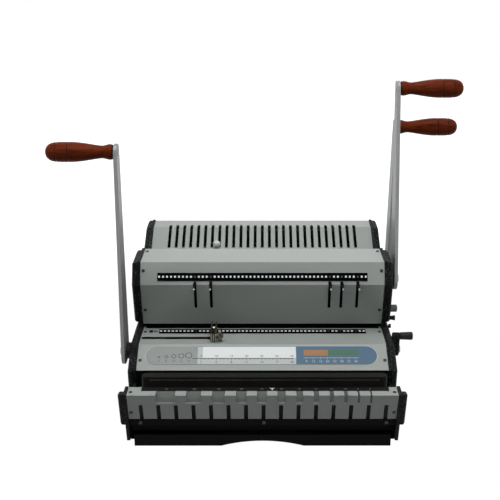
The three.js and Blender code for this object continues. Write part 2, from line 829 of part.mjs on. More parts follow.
function buildBase() {
  const narrow = halfPanel - baseInset;
  const wide = halfPanel;
  const half = [
    place(wide, baseTop),
    place(wide - baseThickness, baseTop),
    place(wide - baseThickness, baseStep + baseThickness),
    place(narrow - baseThickness, baseStep + baseThickness),
    place(narrow - baseThickness, baseFloor + baseThickness),
  ];
  const outside = [place(narrow, baseFloor), place(narrow, baseStep), place(wide, baseStep)];
  const mirror = (p) => place(-p.x, p.y);
  const section = [
    ...half,
    ...half.map(mirror).reverse(),
    ...outside.map(mirror).reverse(),
    ...outside,
  ];
  const baseBack = rearBack.x - sheet - fit;
  const frontBack = trayFrontFace + trayFrontThickness;
  const recessHalf = archWidth / 2 + recessMargin;
  const recessBack = frontBack + recessDepth;
  const floorCut = block(
    -recessHalf,
    recessHalf,
    baseFront - overrun,
    recessBack + recessMargin,
    baseFloor - overrun,
    baseFloor + baseThickness + overrun,
  );
  const webCut = block(
    -wide - overrun,
    wide + overrun,
    baseFront - overrun,
    webBack + fit,
    webFoot - fit,
    baseTop + overrun,
  );
  const base = cut(prism(section, baseFront, baseBack, 'y'), [floorCut, webCut]);
  add(machine, 'base_tray', base, blackSatin);

  const footX = narrow - footInset;
  const footFront = baseFront + footInset;
  const footBack = baseBack - footInset;
  for (const [name, x, y] of [
    ['front_left_foot', -footX, footFront],
    ['front_right_foot', footX, footFront],
    ['back_left_foot', -footX, footBack],
    ['back_right_foot', footX, footBack],
  ]) {
    const height = baseFloor - fit;
    const foot = new THREE.CylinderGeometry(footRadius, footRadius, height, smallSides);
    add(machine, name, foot.rotateX(Math.PI / 2), blackRubber, x, y, height / 2);
  }

  const trayHalf = narrow - baseThickness - traySideGap;
  const trayFoot = baseFloor + baseThickness + fit;
  const trayBack = baseBack - trayBackGap;
  const body = block(
    -trayHalf,
    trayHalf,
    frontBack - trayWall,
    trayBack,
    trayFoot,
    trayFoot + trayHeight,
  );
  const hollow = block(
    -trayHalf + trayWall,
    trayHalf - trayWall,
    frontBack,
    trayBack - trayWall,
    trayFoot + trayWall,
    trayFoot + trayHeight + overrun,
  );
  const recessTop = trayFoot + trayHeight;
  const recess = block(
    -recessHalf,
    recessHalf,
    frontBack - trayWall,
    recessBack,
    trayFoot,
    recessTop,
  );
  const recessCut = block(
    -recessHalf + trayWall,
    recessHalf - trayWall,
    frontBack - trayWall,
    recessBack - trayWall,
    trayFoot - overrun,
    recessTop - trayWall,
  );
  const face = block(
    -narrow,
    narrow,
    trayFrontFace,
    frontBack,
    trayFrontFoot,
    trayFrontFoot + trayFrontHeight,
  );
  const arch = new THREE.Shape();
  const archRadius = (archWidth * archWidth / 4 + archRise * archRise) / (2 * archRise);
  const archAngle = Math.asin(archWidth / 2 / archRadius);
  const archCentre = trayFrontFoot + archRise - archRadius;
  arch.absarc(0, archCentre, archRadius, Math.PI / 2 - archAngle, Math.PI / 2 + archAngle, false);
  arch.lineTo(-archWidth / 2, trayFrontFoot - overrun);
  arch.lineTo(archWidth / 2, trayFrontFoot - overrun);
  arch.closePath();
  const archCut = prism(arch, trayFrontFace - overrun, frontBack, 'y');
  const pan = cut(join(cut(body, [hollow]), [recess]), [recessCut]);
  add(machine, 'chip_tray', cut(join(pan, [face]), [archCut]), blackSatin);
}

// Shaft along X with a hub and a spigot for the lever's bar, and cam arms that point to the front
function leverShaft(hub, withCams) {
  const farEnd = -plateOuter;
  const hubStart = coverOuter + fit;
  const hubEnd = hubStart + hub;
  const spigotEnd = hubEnd + fit + barThickness;
  const shaft = turned([
    [0, farEnd],
    [shaftRadius, farEnd],
    [shaftRadius, hubStart],
    [hubRadius, hubStart],
    [hubRadius, hubEnd],
    [spigotRadius, hubEnd],
    [spigotRadius, spigotEnd],
    [0, spigotEnd],
  ]);
  if (!withCams) return shaft;
  const arms = [-camPlace, camPlace].map((x) => {
    const shape = barShape(shaftRadius + camTipRadius / 2, camTipRadius, camReach);
    const arm = prism(shape, x - camThickness / 2, x + camThickness / 2, 'x', smallSides / 2);
    return arm.rotateX(Math.PI / 2);
  });
  return join(shaft, arms);
}

function grip() {
  const profile = gripShares.map(([along, radius]) => [radius * gripRadius, along * gripLength]);
  return turned([[0, 0], ...profile, [0, gripLength]]);
}

// One lever: its shaft lies along the machine's X, the bar and grip lean about it
function buildLever(name, side, pivot, length, lean, hub, withCams) {
  const group = new THREE.Group();
  group.position.set(0, pivot.x, pivot.y);
  machine.add(group);
  const turn = new THREE.Group();
  turn.rotation.z = side < 0 ? Math.PI : 0;
  group.add(turn);
  const shaft = leverShaft(hub, withCams);
  add(turn, `${name}_shaft`, shaft, machinedSteel);

  const leaning = new THREE.Group();
  leaning.rotation.x = THREE.MathUtils.degToRad(lean * (side < 0 ? -1 : 1));
  turn.add(leaning);
  const barInner = coverOuter + fit + hub + fit;
  const barOuter = barInner + barThickness;
  const shape = leverBarShape(length);
  roundHole(shape, place(0, 0), spigotRadius + fit);
  add(leaning, `${name}_bar`, prism(shape, barInner, barOuter, 'x'), satinSteel);
  add(leaning, `${name}_grip`, grip(), turnedWood, barOuter + fit, 0, length - gripDrop);
  const bolt = rodX(place(0, 0), boltRadius, 0, boltHeight, 6);
  add(leaning, `${name}_bolt`, bolt, satinSteel, barOuter + fit, 0, 0);
}

function buildLevers() {
  buildLever('closer_lever', -1, closerPivot, closerLeverLength, closerLeverLean, hubLength, false);
  buildLever('punch_lever', 1, punchPivot, punchLeverLength, punchLeverLean, hubLength, true);
  buildLever('rear_lever', 1, rearPivot, rearLeverLength, rearLeverLean, rearHubLength, true);
}

// Round-ended pressing bar on two arms that swing on the closer shaft
function buildCloserBar() {
  const front = lowerFront.x - closerSetback - closerDepth;
  const outline = stadium(closerLength, closerDepth);
  const bar = prism(outline, closerTop - closerHeight, closerTop, 'z');
  bar.translate(closerOffset, front + closerDepth / 2, 0);
  const footLevel = closerTop - closerHeight + armDip;
  const under = place(lowerFront.x + armRunUnder, footLevel + armDip * 2);
  const arms = [-armPlace, armPlace].map((x) => {
    const outlineYZ = [
      place(front + closerDepth / 2, footLevel),
      place(lowerFront.x, footLevel - armDip),
      place(under.x, footLevel),
      place(closerPivot.x, closerPivot.y - armBossRadius / 2),
      place(closerPivot.x, closerPivot.y + armBossRadius / 2),
      place(under.x - armHeight, under.y + armDip),
      place(lowerFront.x, footLevel + armHeight - armDip * 2),
      place(front + closerDepth / 2, footLevel + armHeight),
    ];
    const start = x - armThickness / 2;
    const end = x + armThickness / 2;
    return join(prism(outlineYZ, start, end, 'x'), [rodX(closerPivot, armBossRadius, start, end)]);
  });
  const bores = [-armPlace, armPlace].map((x) =>
    rodX(closerPivot, shaftRadius + fit, x - armThickness, x + armThickness));
  add(machine, 'closer_bar', cut(join(bar, arms), bores), blackSatin);
}

// Comb outline: a head with evenly spaced teeth below it, across the machine
function comb(count, pitch, toothWidth, tipZ, rootZ, topZ) {
  const half = ((count - 1) * pitch + toothWidth) / 2;
  const points = [place(-half, topZ)];
  for (let i = 0; i < count; i += 1) {
    const left = -half + i * pitch;
    const right = left + toothWidth;
    if (i > 0) points.push(place(left, rootZ));
    points.push(place(left, tipZ), place(right, tipZ));
    if (i < count - 1) points.push(place(right, rootZ));
  }
  points.push(place(half, topZ));
  return points;
}

function buildPunches() {
  const headFoot = guideTop + fit + strokeDown;
  const tips = upperFoot.y + pinTipClearance;
  const outline = comb(pinCount, pinPitch, pinWidth, tips, headFoot, headFoot + sheet);
  const pins = prism(outline, combFront, combFront + pinThickness, 'y');
  const halfHead = ((pinCount - 1) * pinPitch) / 2 + pinPitch;
  const headFront = combFront - beamHeadFront;
  const head = block(
    -halfHead,
    halfHead,
    headFront,
    headFront + beamHeadDepth,
    headFoot,
    headFoot + beamHeadHeight,
  );
  const bores = pullPlaces.map((x) => {
    const bore = new THREE.CylinderGeometry(pullRodRadius + fit, pullRodRadius + fit, 2 * pullBore, pinSides);
    return bore.translate(x, headFront, pullHeight);
  });
  add(machine, 'upper_punch_beam', cut(join(pins, [head]), bores), machinedSteel);

  const length = headFront + pullBore - fit - (upperNose.x - pullReach);
  const collarEnd = pullReach - pullCollarGap;
  pullPlaces.forEach((x, i) => {
    const pull = new THREE.LatheGeometry(
      [
        place(0, 0),
        place(pullRodRadius, 0),
        place(pullRodRadius, collarEnd - pullCollarLength),
        place(pullCollarRadius, collarEnd - pullCollarLength),
        place(pullCollarRadius, collarEnd),
        place(pullRodRadius, collarEnd),
        place(pullRodRadius, length),
        place(0, length),
      ],
      pinSides,
    );
    add(machine, `pin_pull_${i + 1}`, pull, satinSteel, x, upperNose.x - pullReach, pullHeight);
  });

  const rearGuideTop = rearLip.y + rearGuideArm;
  const rearHeadFoot = rearGuideTop + fit * 2 + rearStrokeDown;
  const rearFront = rearDieFront + rearCombSetback;
  const rearOutline = comb(rearSlotCount, rearSlotPitch, rearPinWidth, rearLip.y + rearTipClearance,
    rearHeadFoot, rearHeadFoot + sheet);
  const rearPins = prism(rearOutline, rearFront, rearFront + pinThickness, 'y');
  const rearHalf = (rearSlotCount * rearSlotPitch) / 2;
  const rearHead = block(
    -rearHalf,
    rearHalf,
    rearFront - rearHeadFront,
    rearFront - rearHeadFront + beamHeadDepth,
    rearHeadFoot,
    rearHeadFoot + rearHeadHeight,
  );
  add(machine, 'rear_punch_beam', join(rearPins, [rearHead]), machinedSteel);

  const stopFront = dieFront + stopSetback;
  const stop = block(
    -halfPanel + sheet,
    halfPanel - sheet,
    stopFront,
    stopFront + stopDepth,
    throatFloor + fit,
    upperFoot.y - fit,
  );
  add(machine, 'paper_stop', stop, darkSteel);
}

// Knob on a stem, along +X from the outer cover
function sideKnob(radius, length) {
  const profile = [
    [0, -coverOuter + plateInner],
    [knobStemRadius, -coverOuter + plateInner],
    [knobStemRadius, fit],
    [radius, fit],
    [radius, length],
    [0, length],
  ];
  return turned(profile, smallSides);
}

function buildSideControls() {
  add(machine, 'margin_knob', sideKnob(marginKnobRadius, marginKnobLength), darkSteel,
    coverOuter, marginPivot.x, marginPivot.y);
  add(machine, 'depth_lock_knob', sideKnob(lockKnobRadius, lockKnobLength), blackSatin,
    coverOuter, lockPivot.x, lockPivot.y);

  const group = new THREE.Group();
  group.position.set(0, crankPivot.x, crankPivot.y);
  machine.add(group);
  const armInner = coverOuter + crankStandoff;
  const armOuter = armInner + crankThickness;
  const shaft = rodX(place(0, 0), crankShaftRadius, stopDiscPlace, armOuter + crankEndProud);
  const disc = rodX(place(0, stopDiscOffset), stopDiscRadius, stopDiscPlace, stopDiscPlace + camThickness);
  add(group, 'crank_shaft', join(shaft, [disc]), machinedSteel);
  const turn = new THREE.Group();
  turn.rotation.x = THREE.MathUtils.degToRad(crankLean);
  group.add(turn);
  const shape = barShape(crankFootRadius, crankHeadRadius, crankLength);
  roundHole(shape, place(0, 0), crankShaftRadius + fit);
  add(turn, 'crank_arm', prism(shape, armInner, armOuter, 'x'), blackTexture);
  const handle = turned([
    [0, 0],
    [crankHandleRadius, 0],
    [crankHandleRadius, crankHandleLength],
    [0, crankHandleLength],
  ]);
  add(turn, 'crank_handle', handle, blackSatin, armOuter + fit, 0, crankLength);
}

function buildGuides() {
  const slotY = lowerCrease.x + lowerSlotBehindCrease;
  const start = slotY - guideAhead;
  const foot = zOnLine(lowerCrease, deckBack, start + guideLength) + filmThickness + fit * 2;
  const half = guideWidth / 2;
  const channel = [
    place(-half, 0),
    place(half, 0),
    place(half, guideHeight),
    place(half - guideWall, guideHeight),
    place(half - guideWall, guideWall),
    place(-half + guideWall, guideWall),
    place(-half + guideWall, guideHeight),
    place(-half, guideHeight),
  ];
  const tongue = block(
    -half,
    half,
    guideAhead - tongueWidth / 2,
    guideAhead + tongueWidth / 2,
    -filmThickness - tongueLength,
    guideWall,
  );
  const knobCentre = place(guideAhead - guideKnobAhead, guideKnobHeight);
  const stemHole = rodX(knobCentre, guideStemRadius + fit, 0, guideWidth);
  const bracket = cut(join(prism(channel, 0, guideLength, 'y'), [tongue]), [stemHole]);
  add(machine, 'lower_edge_guide', bracket, brassPlate, guidePlace, start, foot);
  const knobProfile = [
    [0, -guideWall * 2],
    [guideStemRadius, -guideWall * 2],
    [guideStemRadius, fit],
    [guideKnobRadius, fit],
    [guideKnobRadius, guideKnobLength],
    [0, guideKnobLength],
  ];
  const knob = turned(knobProfile, smallSides);
  add(machine, 'lower_guide_knob', knob, brassPlate, guidePlace + half, start + knobCentre.x,
    foot + knobCentre.y);

  const rearY = upperBack.x + rearGuideBehind;
  const rearOutline = [
    place(-rearGuideFoot / 2, 0),
    place(-tongueWidth / 2, 0),
    place(-tongueWidth / 2, -tongueLength),
    place(tongueWidth / 2, -tongueLength),
    place(tongueWidth / 2, 0),
    place(rearGuideFoot / 2, 0),
    place(rearGuideFoot / 2, rearGuideFootHeight),
    place(rearGuidePost / 2, rearGuideFootHeight),
    place(rearGuidePost / 2, rearGuideHeight),
    place(-rearGuidePost / 2, rearGuideHeight),
    place(-rearGuidePost / 2, rearGuideFootHeight),
    place(-rearGuideFoot / 2, rearGuideFootHeight),
  ];
  const post = prism(rearOutline, -half, half, 'x');
  const stemLength = rearStemLength + fit;
  const boreRadius = guideStemRadius + fit;
  const stemBore = new THREE.CylinderGeometry(boreRadius, boreRadius, 2 * stemLength, pinSides);
  const bored = cut(post, [stemBore.rotateX(Math.PI / 2).translate(0, 0, rearGuideHeight)]);
  add(machine, 'rear_edge_guide', bored, brassPlate, guidePlace, rearY, rearDeckHeight + fit);
  const rearKnobProfile = [
    [0, -rearStemLength],
    [guideStemRadius, -rearStemLength],
    [guideStemRadius, fit],
    [rearKnobRadius, fit],
    [rearKnobRadius, rearKnobHeight / 2],
    [rearKnobRadius / 2, rearKnobHeight],
    [0, rearKnobHeight],
  ];
  const rearKnob = turned(rearKnobProfile, smallSides).rotateY(-Math.PI / 2);
  add(machine, 'rear_guide_knob', rearKnob, whitePlastic, guidePlace, rearY,
    rearDeckHeight + fit + rearGuideHeight);
}

buildFront();
buildSides();
buildLowerModule();
buildUpperModule();
buildRearModule();
buildBase();
buildLevers();
buildCloserBar();
buildPunches();
buildSideControls();
buildGuides();

// The origin stands under the middle of the machine's box
const bounds = new THREE.Box3().setFromObject(machine, true);
const middle = bounds.getCenter(new THREE.Vector3());
machine.position.set(-middle.x, -middle.y, -bounds.min.z);

export default machine;
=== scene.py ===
import math
import bpy
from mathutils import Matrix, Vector


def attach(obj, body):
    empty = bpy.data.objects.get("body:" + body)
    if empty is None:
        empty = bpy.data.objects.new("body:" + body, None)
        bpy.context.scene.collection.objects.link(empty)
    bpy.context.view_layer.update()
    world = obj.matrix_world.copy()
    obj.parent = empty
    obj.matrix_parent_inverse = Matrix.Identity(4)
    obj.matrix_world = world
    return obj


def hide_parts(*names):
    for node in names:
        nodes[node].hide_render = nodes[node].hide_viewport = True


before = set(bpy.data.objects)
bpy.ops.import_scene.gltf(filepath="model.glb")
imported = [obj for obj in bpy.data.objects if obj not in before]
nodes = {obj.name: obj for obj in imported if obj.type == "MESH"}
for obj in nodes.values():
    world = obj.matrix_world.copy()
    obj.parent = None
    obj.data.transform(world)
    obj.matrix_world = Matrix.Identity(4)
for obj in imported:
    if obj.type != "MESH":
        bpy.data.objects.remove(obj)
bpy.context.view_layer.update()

mm = 0.001

# Places are in the maker's millimetres: x from the middle, y from the ledge's front, z from the desk
frameShift = Vector((-5.15, -237.442, 0.0))

# Turns in degrees: what looks up is made to look this way; onSide also turns x into y and y into z
toFront = (90.0, 0.0, 0.0)
toBack = (-90.0, 0.0, 0.0)
toRight = (0.0, 90.0, 0.0)
onSide = (90.0, 0.0, 90.0)
unturned = (0.0, 0.0, 0.0)
origin = (0.0, 0.0, 0.0)

print("frame loaded:", len(nodes), "nodes")


def at(x, y, z):
    return (Vector((x, y, z)) + frameShift) * mm


def onCircle(radius, angle, x=0.0, y=0.0):
    return (x + radius * math.cos(angle), y + radius * math.sin(angle))


def onLean(pivot, length, lean):
    # A place (y, z) on a bar that leans by these degrees from upright to the front
    return onCircle(length, math.radians(90.0 + lean), *pivot)


def linkObject(thing):
    bpy.context.collection.objects.link(thing)
    return thing


def feed(tree, socket, value):
    # An input takes a value, or the output that drives it
    if hasattr(value, "is_linked"):
        tree.links.new(value, socket)
    else:
        socket.default_value = value


def addNode(tree, kind, inputs=None, **values):
    node = tree.nodes.new("ShaderNode" + kind)
    for key, value in values.items():
        setattr(node, key, value)
    for key, value in (inputs or {}).items():
        feed(tree, node.inputs[key], value)
    return node


def mathNode(tree, operation, first, second, clamp=False):
    return addNode(tree, "Math", {0: first, 1: second}, operation=operation, use_clamp=clamp).outputs[0]


def times(tree, first, second, clamp=False):
    return mathNode(tree, "MULTIPLY", first, second, clamp)


def mixColours(tree, factor, first, second):
    return addNode(tree, "Mix", {0: factor, 6: first, 7: second}, data_type="RGBA").outputs[2]


def objectPlace(tree):
    return addNode(tree, "TexCoord").outputs["Object"]


def stretchPlace(tree, place, stretch):
    return addNode(tree, "VectorMath", {0: place, 1: stretch}, operation="MULTIPLY").outputs[0]


def noiseOn(tree, place, scale, detail, distortion=0.0):
    inputs = {"Vector": place, "Scale": scale, "Detail": detail, "Distortion": distortion}
    return addNode(tree, "TexNoise", inputs).outputs["Fac"]


def spreadOut(tree, value, fromMin=0.0, fromMax=1.0, toMin=0.0, toMax=1.0, curve="LINEAR"):
    inputs = {"Value": value, "From Min": fromMin, "From Max": fromMax, "To Min": toMin, "To Max": toMax}
    return addNode(tree, "MapRange", inputs, interpolation_type=curve).outputs[0]


view = dict(
    lens=72.0, sensor=36.0, shiftX=-0.024, nearest=0.05, place=(-1.9, -1320.2, 685.45), pitch=15.889,
    yaw=0.046,
)

cameraData = bpy.data.cameras.new("studioCamera")
cameraData.lens = view["lens"]
cameraData.sensor_width = view["sensor"]
cameraData.shift_x = view["shiftX"]
cameraData.clip_start = view["nearest"]
camera = linkObject(bpy.data.objects.new("studioCamera", cameraData))
camera.location = at(*view["place"])
camera.rotation_euler = (math.radians(90.0 - view["pitch"]), 0.0, math.radians(-view["yaw"]))
bpy.context.scene.camera = camera
bpy.context.scene.view_settings.view_transform = "Standard"

studio = dict(
    ambient=0.09, backdrop=1.0, white=(1.0, 1.0, 1.0, 1.0), floorSize=9.0, floorDrop=0.0002,
    floorColour=(0.22, 0.22, 0.22, 1.0), floorRoughness=0.9, floorGlow=1.3,
    # The floor's glow grows from this share to all of it between these metres
    glowShare=0.765, glowReach=(0.45, 1.1),
    lamps=[
        # name, place in metres, aim, width, watts
        ("topBox", (0.0, -0.55, 1.9), (0.0, 0.0, 0.1), 1.5, 19.6),
        ("leftBox", (-1.9, -0.4, 1.5), (0.0, 0.0, 0.2), 1.0, 3.0),
        ("rightBox", (1.9, -0.4, 1.5), (0.0, 0.0, 0.2), 1.0, 3.0),
        ("frontBox", (0.0, -2.3, 1.3), (0.0, 0.0, 0.15), 1.2, 0.9),
        ("backBox", (0.2, 2.0, 1.3), (0.0, 0.0, 0.2), 1.3, 3.0),
    ],
)


def isRay(tree, *kinds):
    # One on rays of these kinds
    rays = addNode(tree, "LightPath").outputs
    share = rays[f"Is {kinds[0]} Ray"]
    for kind in kinds[1:]:
        share = mathNode(tree, "MAXIMUM", share, rays[f"Is {kind} Ray"])
    return share


def mixShaders(tree, share, first, second):
    return addNode(tree, "MixShader", {"Fac": share, 1: first, 2: second}).outputs[0]


world = bpy.data.worlds.new("studioWorld")
world.use_nodes = True
bpy.context.scene.world = world
worldTree = world.node_tree
worldTree.nodes.clear()
seen, lit = (
    addNode(worldTree, "Background", {"Color": studio["white"], "Strength": studio[strength]})
    for strength in ("backdrop", "ambient")
)
seenAtAll = isRay(worldTree, "Camera", "Glossy", "Transmission")
sky = mixShaders(worldTree, seenAtAll, lit.outputs[0], seen.outputs[0])
addNode(worldTree, "OutputWorld", {"Surface": sky})

for lampName, lampPlace, lampAim, lampWidth, lampWatts in studio["lamps"]:
    lampData = bpy.data.lights.new(lampName, "AREA")
    lampData.energy = lampWatts
    lampData.size = lampWidth
    lamp = linkObject(bpy.data.objects.new(lampName, lampData))
    lamp.location = lampPlace
    lamp.rotation_euler = (Vector(lampAim) - Vector(lampPlace)).to_track_quat("-Z", "Y").to_euler()

print("camera and lights ready")


def setMode(mode):
    bpy.ops.object.mode_set(mode=mode)


def selectAll(action="SELECT"):
    bpy.ops.mesh.select_all(action=action)


def startEdit(kind, action="SELECT"):
    setMode("EDIT")
    bpy.ops.mesh.select_mode(type=kind)
    selectAll(action)


def deselectAll():
    if bpy.context.object and bpy.context.object.mode != "OBJECT":
        setMode("OBJECT")
    bpy.ops.object.select_all(action="DESELECT")


def makeActive(piece):
    deselectAll()
    piece.select_set(True)
    bpy.context.view_layer.objects.active = piece


def namePiece(piece, name):
    piece.name = name
    piece.data.name = name
    return piece


def dropPiece(piece):
    bpy.data.objects.remove(piece)


def applyModifier(piece, kind, **values):
    makeActive(piece)
    modifier = piece.modifiers.new(kind.title(), kind)
    for key, value in values.items():
        setattr(modifier, key, value)
    bpy.ops.object.modifier_apply(modifier=modifier.name)


def settle(piece, place=origin, turn=unturned):
    # Puts the piece in its place, turned by degrees, and leaves its object at the origin
    makeActive(piece)
    piece.location = place
    piece.rotation_euler = [math.radians(angle) for angle in turn]
    bpy.ops.object.transform_apply(location=True, rotation=True, scale=True)


def startChain(name, points):
    # A chain of vertices drawn by extruding one after the other
    deselectAll()
    bpy.ops.mesh.primitive_plane_add(size=0.001)
    piece = namePiece(bpy.context.object, name)
    startEdit("VERT")
    bpy.ops.mesh.merge(type="CENTER")
    bpy.ops.transform.translate(value=points[0])
    for start, end in zip(points, points[1:]):
        step = Vector(end) - Vector(start)
        bpy.ops.mesh.extrude_vertices_move(TRANSFORM_OT_translate={"value": step})
    selectAll()
    return piece


def closeChain(piece, mergeReach=None):
    selectAll()
    if mergeReach:
        bpy.ops.mesh.remove_doubles(threshold=mergeReach)
    bpy.ops.mesh.normals_make_consistent(inside=False)
    setMode("OBJECT")


def outlinePiece(name, outline, depth, bevel=0.0, segments=2):
    # A flat outline in x and y, closed and pulled up along z; sizes in millimetres
    points = [Vector((x, y, 0.0)) * mm for x, y in outline]
    piece = startChain(name, points + points[:1])
    bpy.ops.mesh.remove_doubles(threshold=1e-6)
    bpy.ops.mesh.edge_face_add()
    bpy.ops.mesh.extrude_region_move(TRANSFORM_OT_translate={"value": (0.0, 0.0, depth * mm)})
    closeChain(piece)
    if bevel:
        softenEdges(piece, bevel, segments)
    return piece


def rectangle(x0, x1, y0, y1):
    return [(x0, y0), (x1, y0), (x1, y1), (x0, y1)]


def middleRectangle(wide, deep):
    return rectangle(-0.5 * wide, 0.5 * wide, -0.5 * deep, 0.5 * deep)


def turnedPiece(name, profile, steps=32):
    # A profile of radius and height in millimetres, spun round z
    piece = startChain(name, [Vector((radius, 0.0, height)) * mm for radius, height in profile])
    bpy.ops.mesh.spin(steps=steps, angle=2.0 * math.pi, center=origin, axis=(0.0, 0.0, 1.0))
    closeChain(piece, 2e-6)
    smoothByAngle(piece)
    return piece


def smoothByAngle(piece, angle=32.0):
    makeActive(piece)
    bpy.ops.object.shade_smooth_by_angle(angle=math.radians(angle))


def softenEdges(piece, width, segments=2, angle=30.0):
    smoothByAngle(piece)
    applyModifier(
        piece, "BEVEL", width=width * mm, segments=segments, angle_limit=math.radians(angle),
        limit_method="ANGLE", harden_normals=True, miter_outer="MITER_SHARP",
    )


def copyPiece(piece, name):
    twin = piece.copy()
    twin.data = piece.data.copy()
    return namePiece(linkObject(twin), name)


def joinPieces(pieces, name):
    deselectAll()
    for piece in pieces:
        piece.select_set(True)
    bpy.context.view_layer.objects.active = pieces[0]
    bpy.ops.object.join()
    return namePiece(pieces[0], name)


def paintPiece(piece, look):
    piece.data.materials.clear()
    piece.data.materials.append(looks[look])


def paintFaces(piece, look, belongs):
    # A second finish on the faces whose middle (in millimetres) and normal belong to it
    piece.data.materials.append(looks[look])
    second = len(piece.data.materials) - 1
    for face in piece.data.polygons:
        if belongs(face.center / mm - frameShift, face.normal):
            face.material_index = second


def finishPiece(piece, body, look, slot, *replaced):
    if look:
        paintPiece(piece, look)
    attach(piece, body)
    if replaced:
        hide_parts(*replaced)
    deselectAll()


def mergedCopy(node):
    # The node's own shape as one clean mesh to work on
    piece = copyPiece(nodes[node], node + "_skin")
    piece.parent = None
    piece.matrix_world = nodes[node].matrix_world
    piece.hide_render = False
    makeActive(piece)
    bpy.ops.object.transform_apply(location=True, rotation=True, scale=True)
    startEdit("VERT")
    bpy.ops.mesh.remove_doubles(threshold=5e-6)
    bpy.ops.mesh.dissolve_limited(angle_limit=math.radians(1.0))
    setMode("OBJECT")
    return piece


def chamferSide(piece, side, width):
    # Chamfers the edges of the flat face that looks to the left (-1) or the right (1)
    makeActive(piece)
    startEdit("FACE", "DESELECT")
    setMode("OBJECT")
    reach = max(side * vertex.co.x for vertex in piece.data.vertices)
    for face in piece.data.polygons:
        face.select = side * face.normal.x > 0.99 and side * face.center.x > reach - 1e-4
    setMode("EDIT")
    bpy.ops.mesh.region_to_loop()
    bpy.ops.mesh.bevel(offset=width * mm, segments=1, affect="EDGES")
    setMode("OBJECT")


def newGroup(name, inputs, outputs):
    # Both by label and number of parts
    kinds = {1: "NodeSocketFloat", 3: "NodeSocketVector", 4: "NodeSocketColor"}
    group = bpy.data.node_groups.new(name, "ShaderNodeTree")
    for way, labels in (("INPUT", inputs), ("OUTPUT", outputs)):
        for label, parts in labels.items():
            group.interface.new_socket(name=label, in_out=way, socket_type=kinds[parts])
    return group, group.nodes.new("NodeGroupInput").outputs, group.nodes.new("NodeGroupOutput").inputs


textureOutputs = {"Color": 4, "Roughness": 1, "Height": 1}


def makeSurfaceTexture():
    # Two sizes of noise on the piece: drives the colour, the roughness and the relief
    group, given, out = newGroup(
        "surfaceTexture",
        {
            "Low Color": 4, "High Color": 4, "Stretch": 3, "Fine Scale": 1, "Broad Scale": 1,
            "Fine Share": 1, "Low Roughness": 1, "High Roughness": 1,
        },
        textureOutputs,
    )
    place = objectPlace(group)
    fine = noiseOn(group, stretchPlace(group, place, given["Stretch"]), given["Fine Scale"], 3.0)
    broad = noiseOn(group, place, given["Broad Scale"], 4.0)
    finePart = times(group, fine, given["Fine Share"])
    broadPart = times(group, broad, mathNode(group, "SUBTRACT", 1.0, given["Fine Share"]))
    spread = spreadOut(group, mathNode(group, "ADD", finePart, broadPart), 0.3, 0.7)
    rough = spreadOut(group, spread, toMin=given["Low Roughness"], toMax=given["High Roughness"])
    feed(group, out["Color"], mixColours(group, spread, given["Low Color"], given["High Color"]))
    feed(group, out["Roughness"], rough)
    feed(group, out["Height"], fine)
    return group


def makeWornEdge():
    # Bright where the surface turns sharply, broken up by noise: edge wear together with a painted
    # highlight along the edges
    group, given, out = newGroup("wornEdge", {"Radius": 1, "Amount": 1}, {"Mask": 1})
    rounded = addNode(group, "Bevel", {"Radius": given["Radius"]}, samples=4)
    surface = addNode(group, "NewGeometry")
    normals = {0: rounded.outputs["Normal"], 1: surface.outputs["Normal"]}
    alike = addNode(group, "VectorMath", normals, operation="DOT_PRODUCT")
    turned = mathNode(group, "SUBTRACT", 1.0, alike.outputs["Value"])
    strong = times(group, turned, 5.0, clamp=True)
    broken = spreadOut(group, noiseOn(group, objectPlace(group), 160.0, 4.0), 0.38, 0.62, 0.25)
    shown = times(group, strong, broken)
    feed(group, out["Mask"], times(group, shown, given["Amount"], clamp=True))
    return group


def makeSettledDust():
    # Thin dust on what looks up
    group, given, out = newGroup("settledDust", {"Amount": 1}, {"Mask": 1})
    surface = addNode(group, "NewGeometry")
    split = addNode(group, "SeparateXYZ", {0: surface.outputs["Normal"]})
    upward = spreadOut(group, split.outputs["Z"], 0.55, 0.98)
    patchy = spreadOut(group, noiseOn(group, objectPlace(group), 35.0, 6.0), 0.35, 0.7)
    shown = times(group, upward, patchy)
    feed(group, out["Mask"], times(group, shown, given["Amount"], clamp=True))
    return group


def makeFlecks():
    # Small pale grains, where the noise rises over a level
    group, given, out = newGroup("paleFlecks", {"Scale": 1, "Level": 1, "Amount": 1}, {"Mask": 1})
    grains = noiseOn(group, objectPlace(group), given["Scale"], 1.5)
    over = mathNode(group, "SUBTRACT", grains, given["Level"])
    steep = times(group, over, 12.0, clamp=True)
    feed(group, out["Mask"], times(group, steep, given["Amount"], clamp=True))
    return group


surfaceTexture = makeSurfaceTexture()
paleFlecks = makeFlecks()
wornEdge = makeWornEdge()
settledDust = makeSettledDust()


def useGroup(tree, group, inputs):
    return addNode(tree, "Group", inputs, node_tree=group).outputs


def startMaterial(name):
    material = bpy.data.materials.new(name)
    material.use_nodes = True
    tree = material.node_tree
    tree.nodes.clear()
    return material, tree


def solid(colour):
    return (*colour, 1.0)


def addRelief(tree, height, strength, depth):
    inputs = {"Strength": strength, "Distance": depth * mm, "Height": height}
    return addNode(tree, "Bump", inputs).outputs[0]


def putSurface(tree, shader):
    addNode(tree, "OutputMaterial", {"Surface": shader})


# What a finish has where it says nothing else
plainLook = dict(
    stretch=(1.0, 1.0, 1.0), broadScale=14.0, fineShare=0.6, edgeRadius=0.8, reliefDepth=0.15,
    metallic=0.0, specular=0.5, glow=0.0, coat=0.0, coatRoughness=0.15,
)


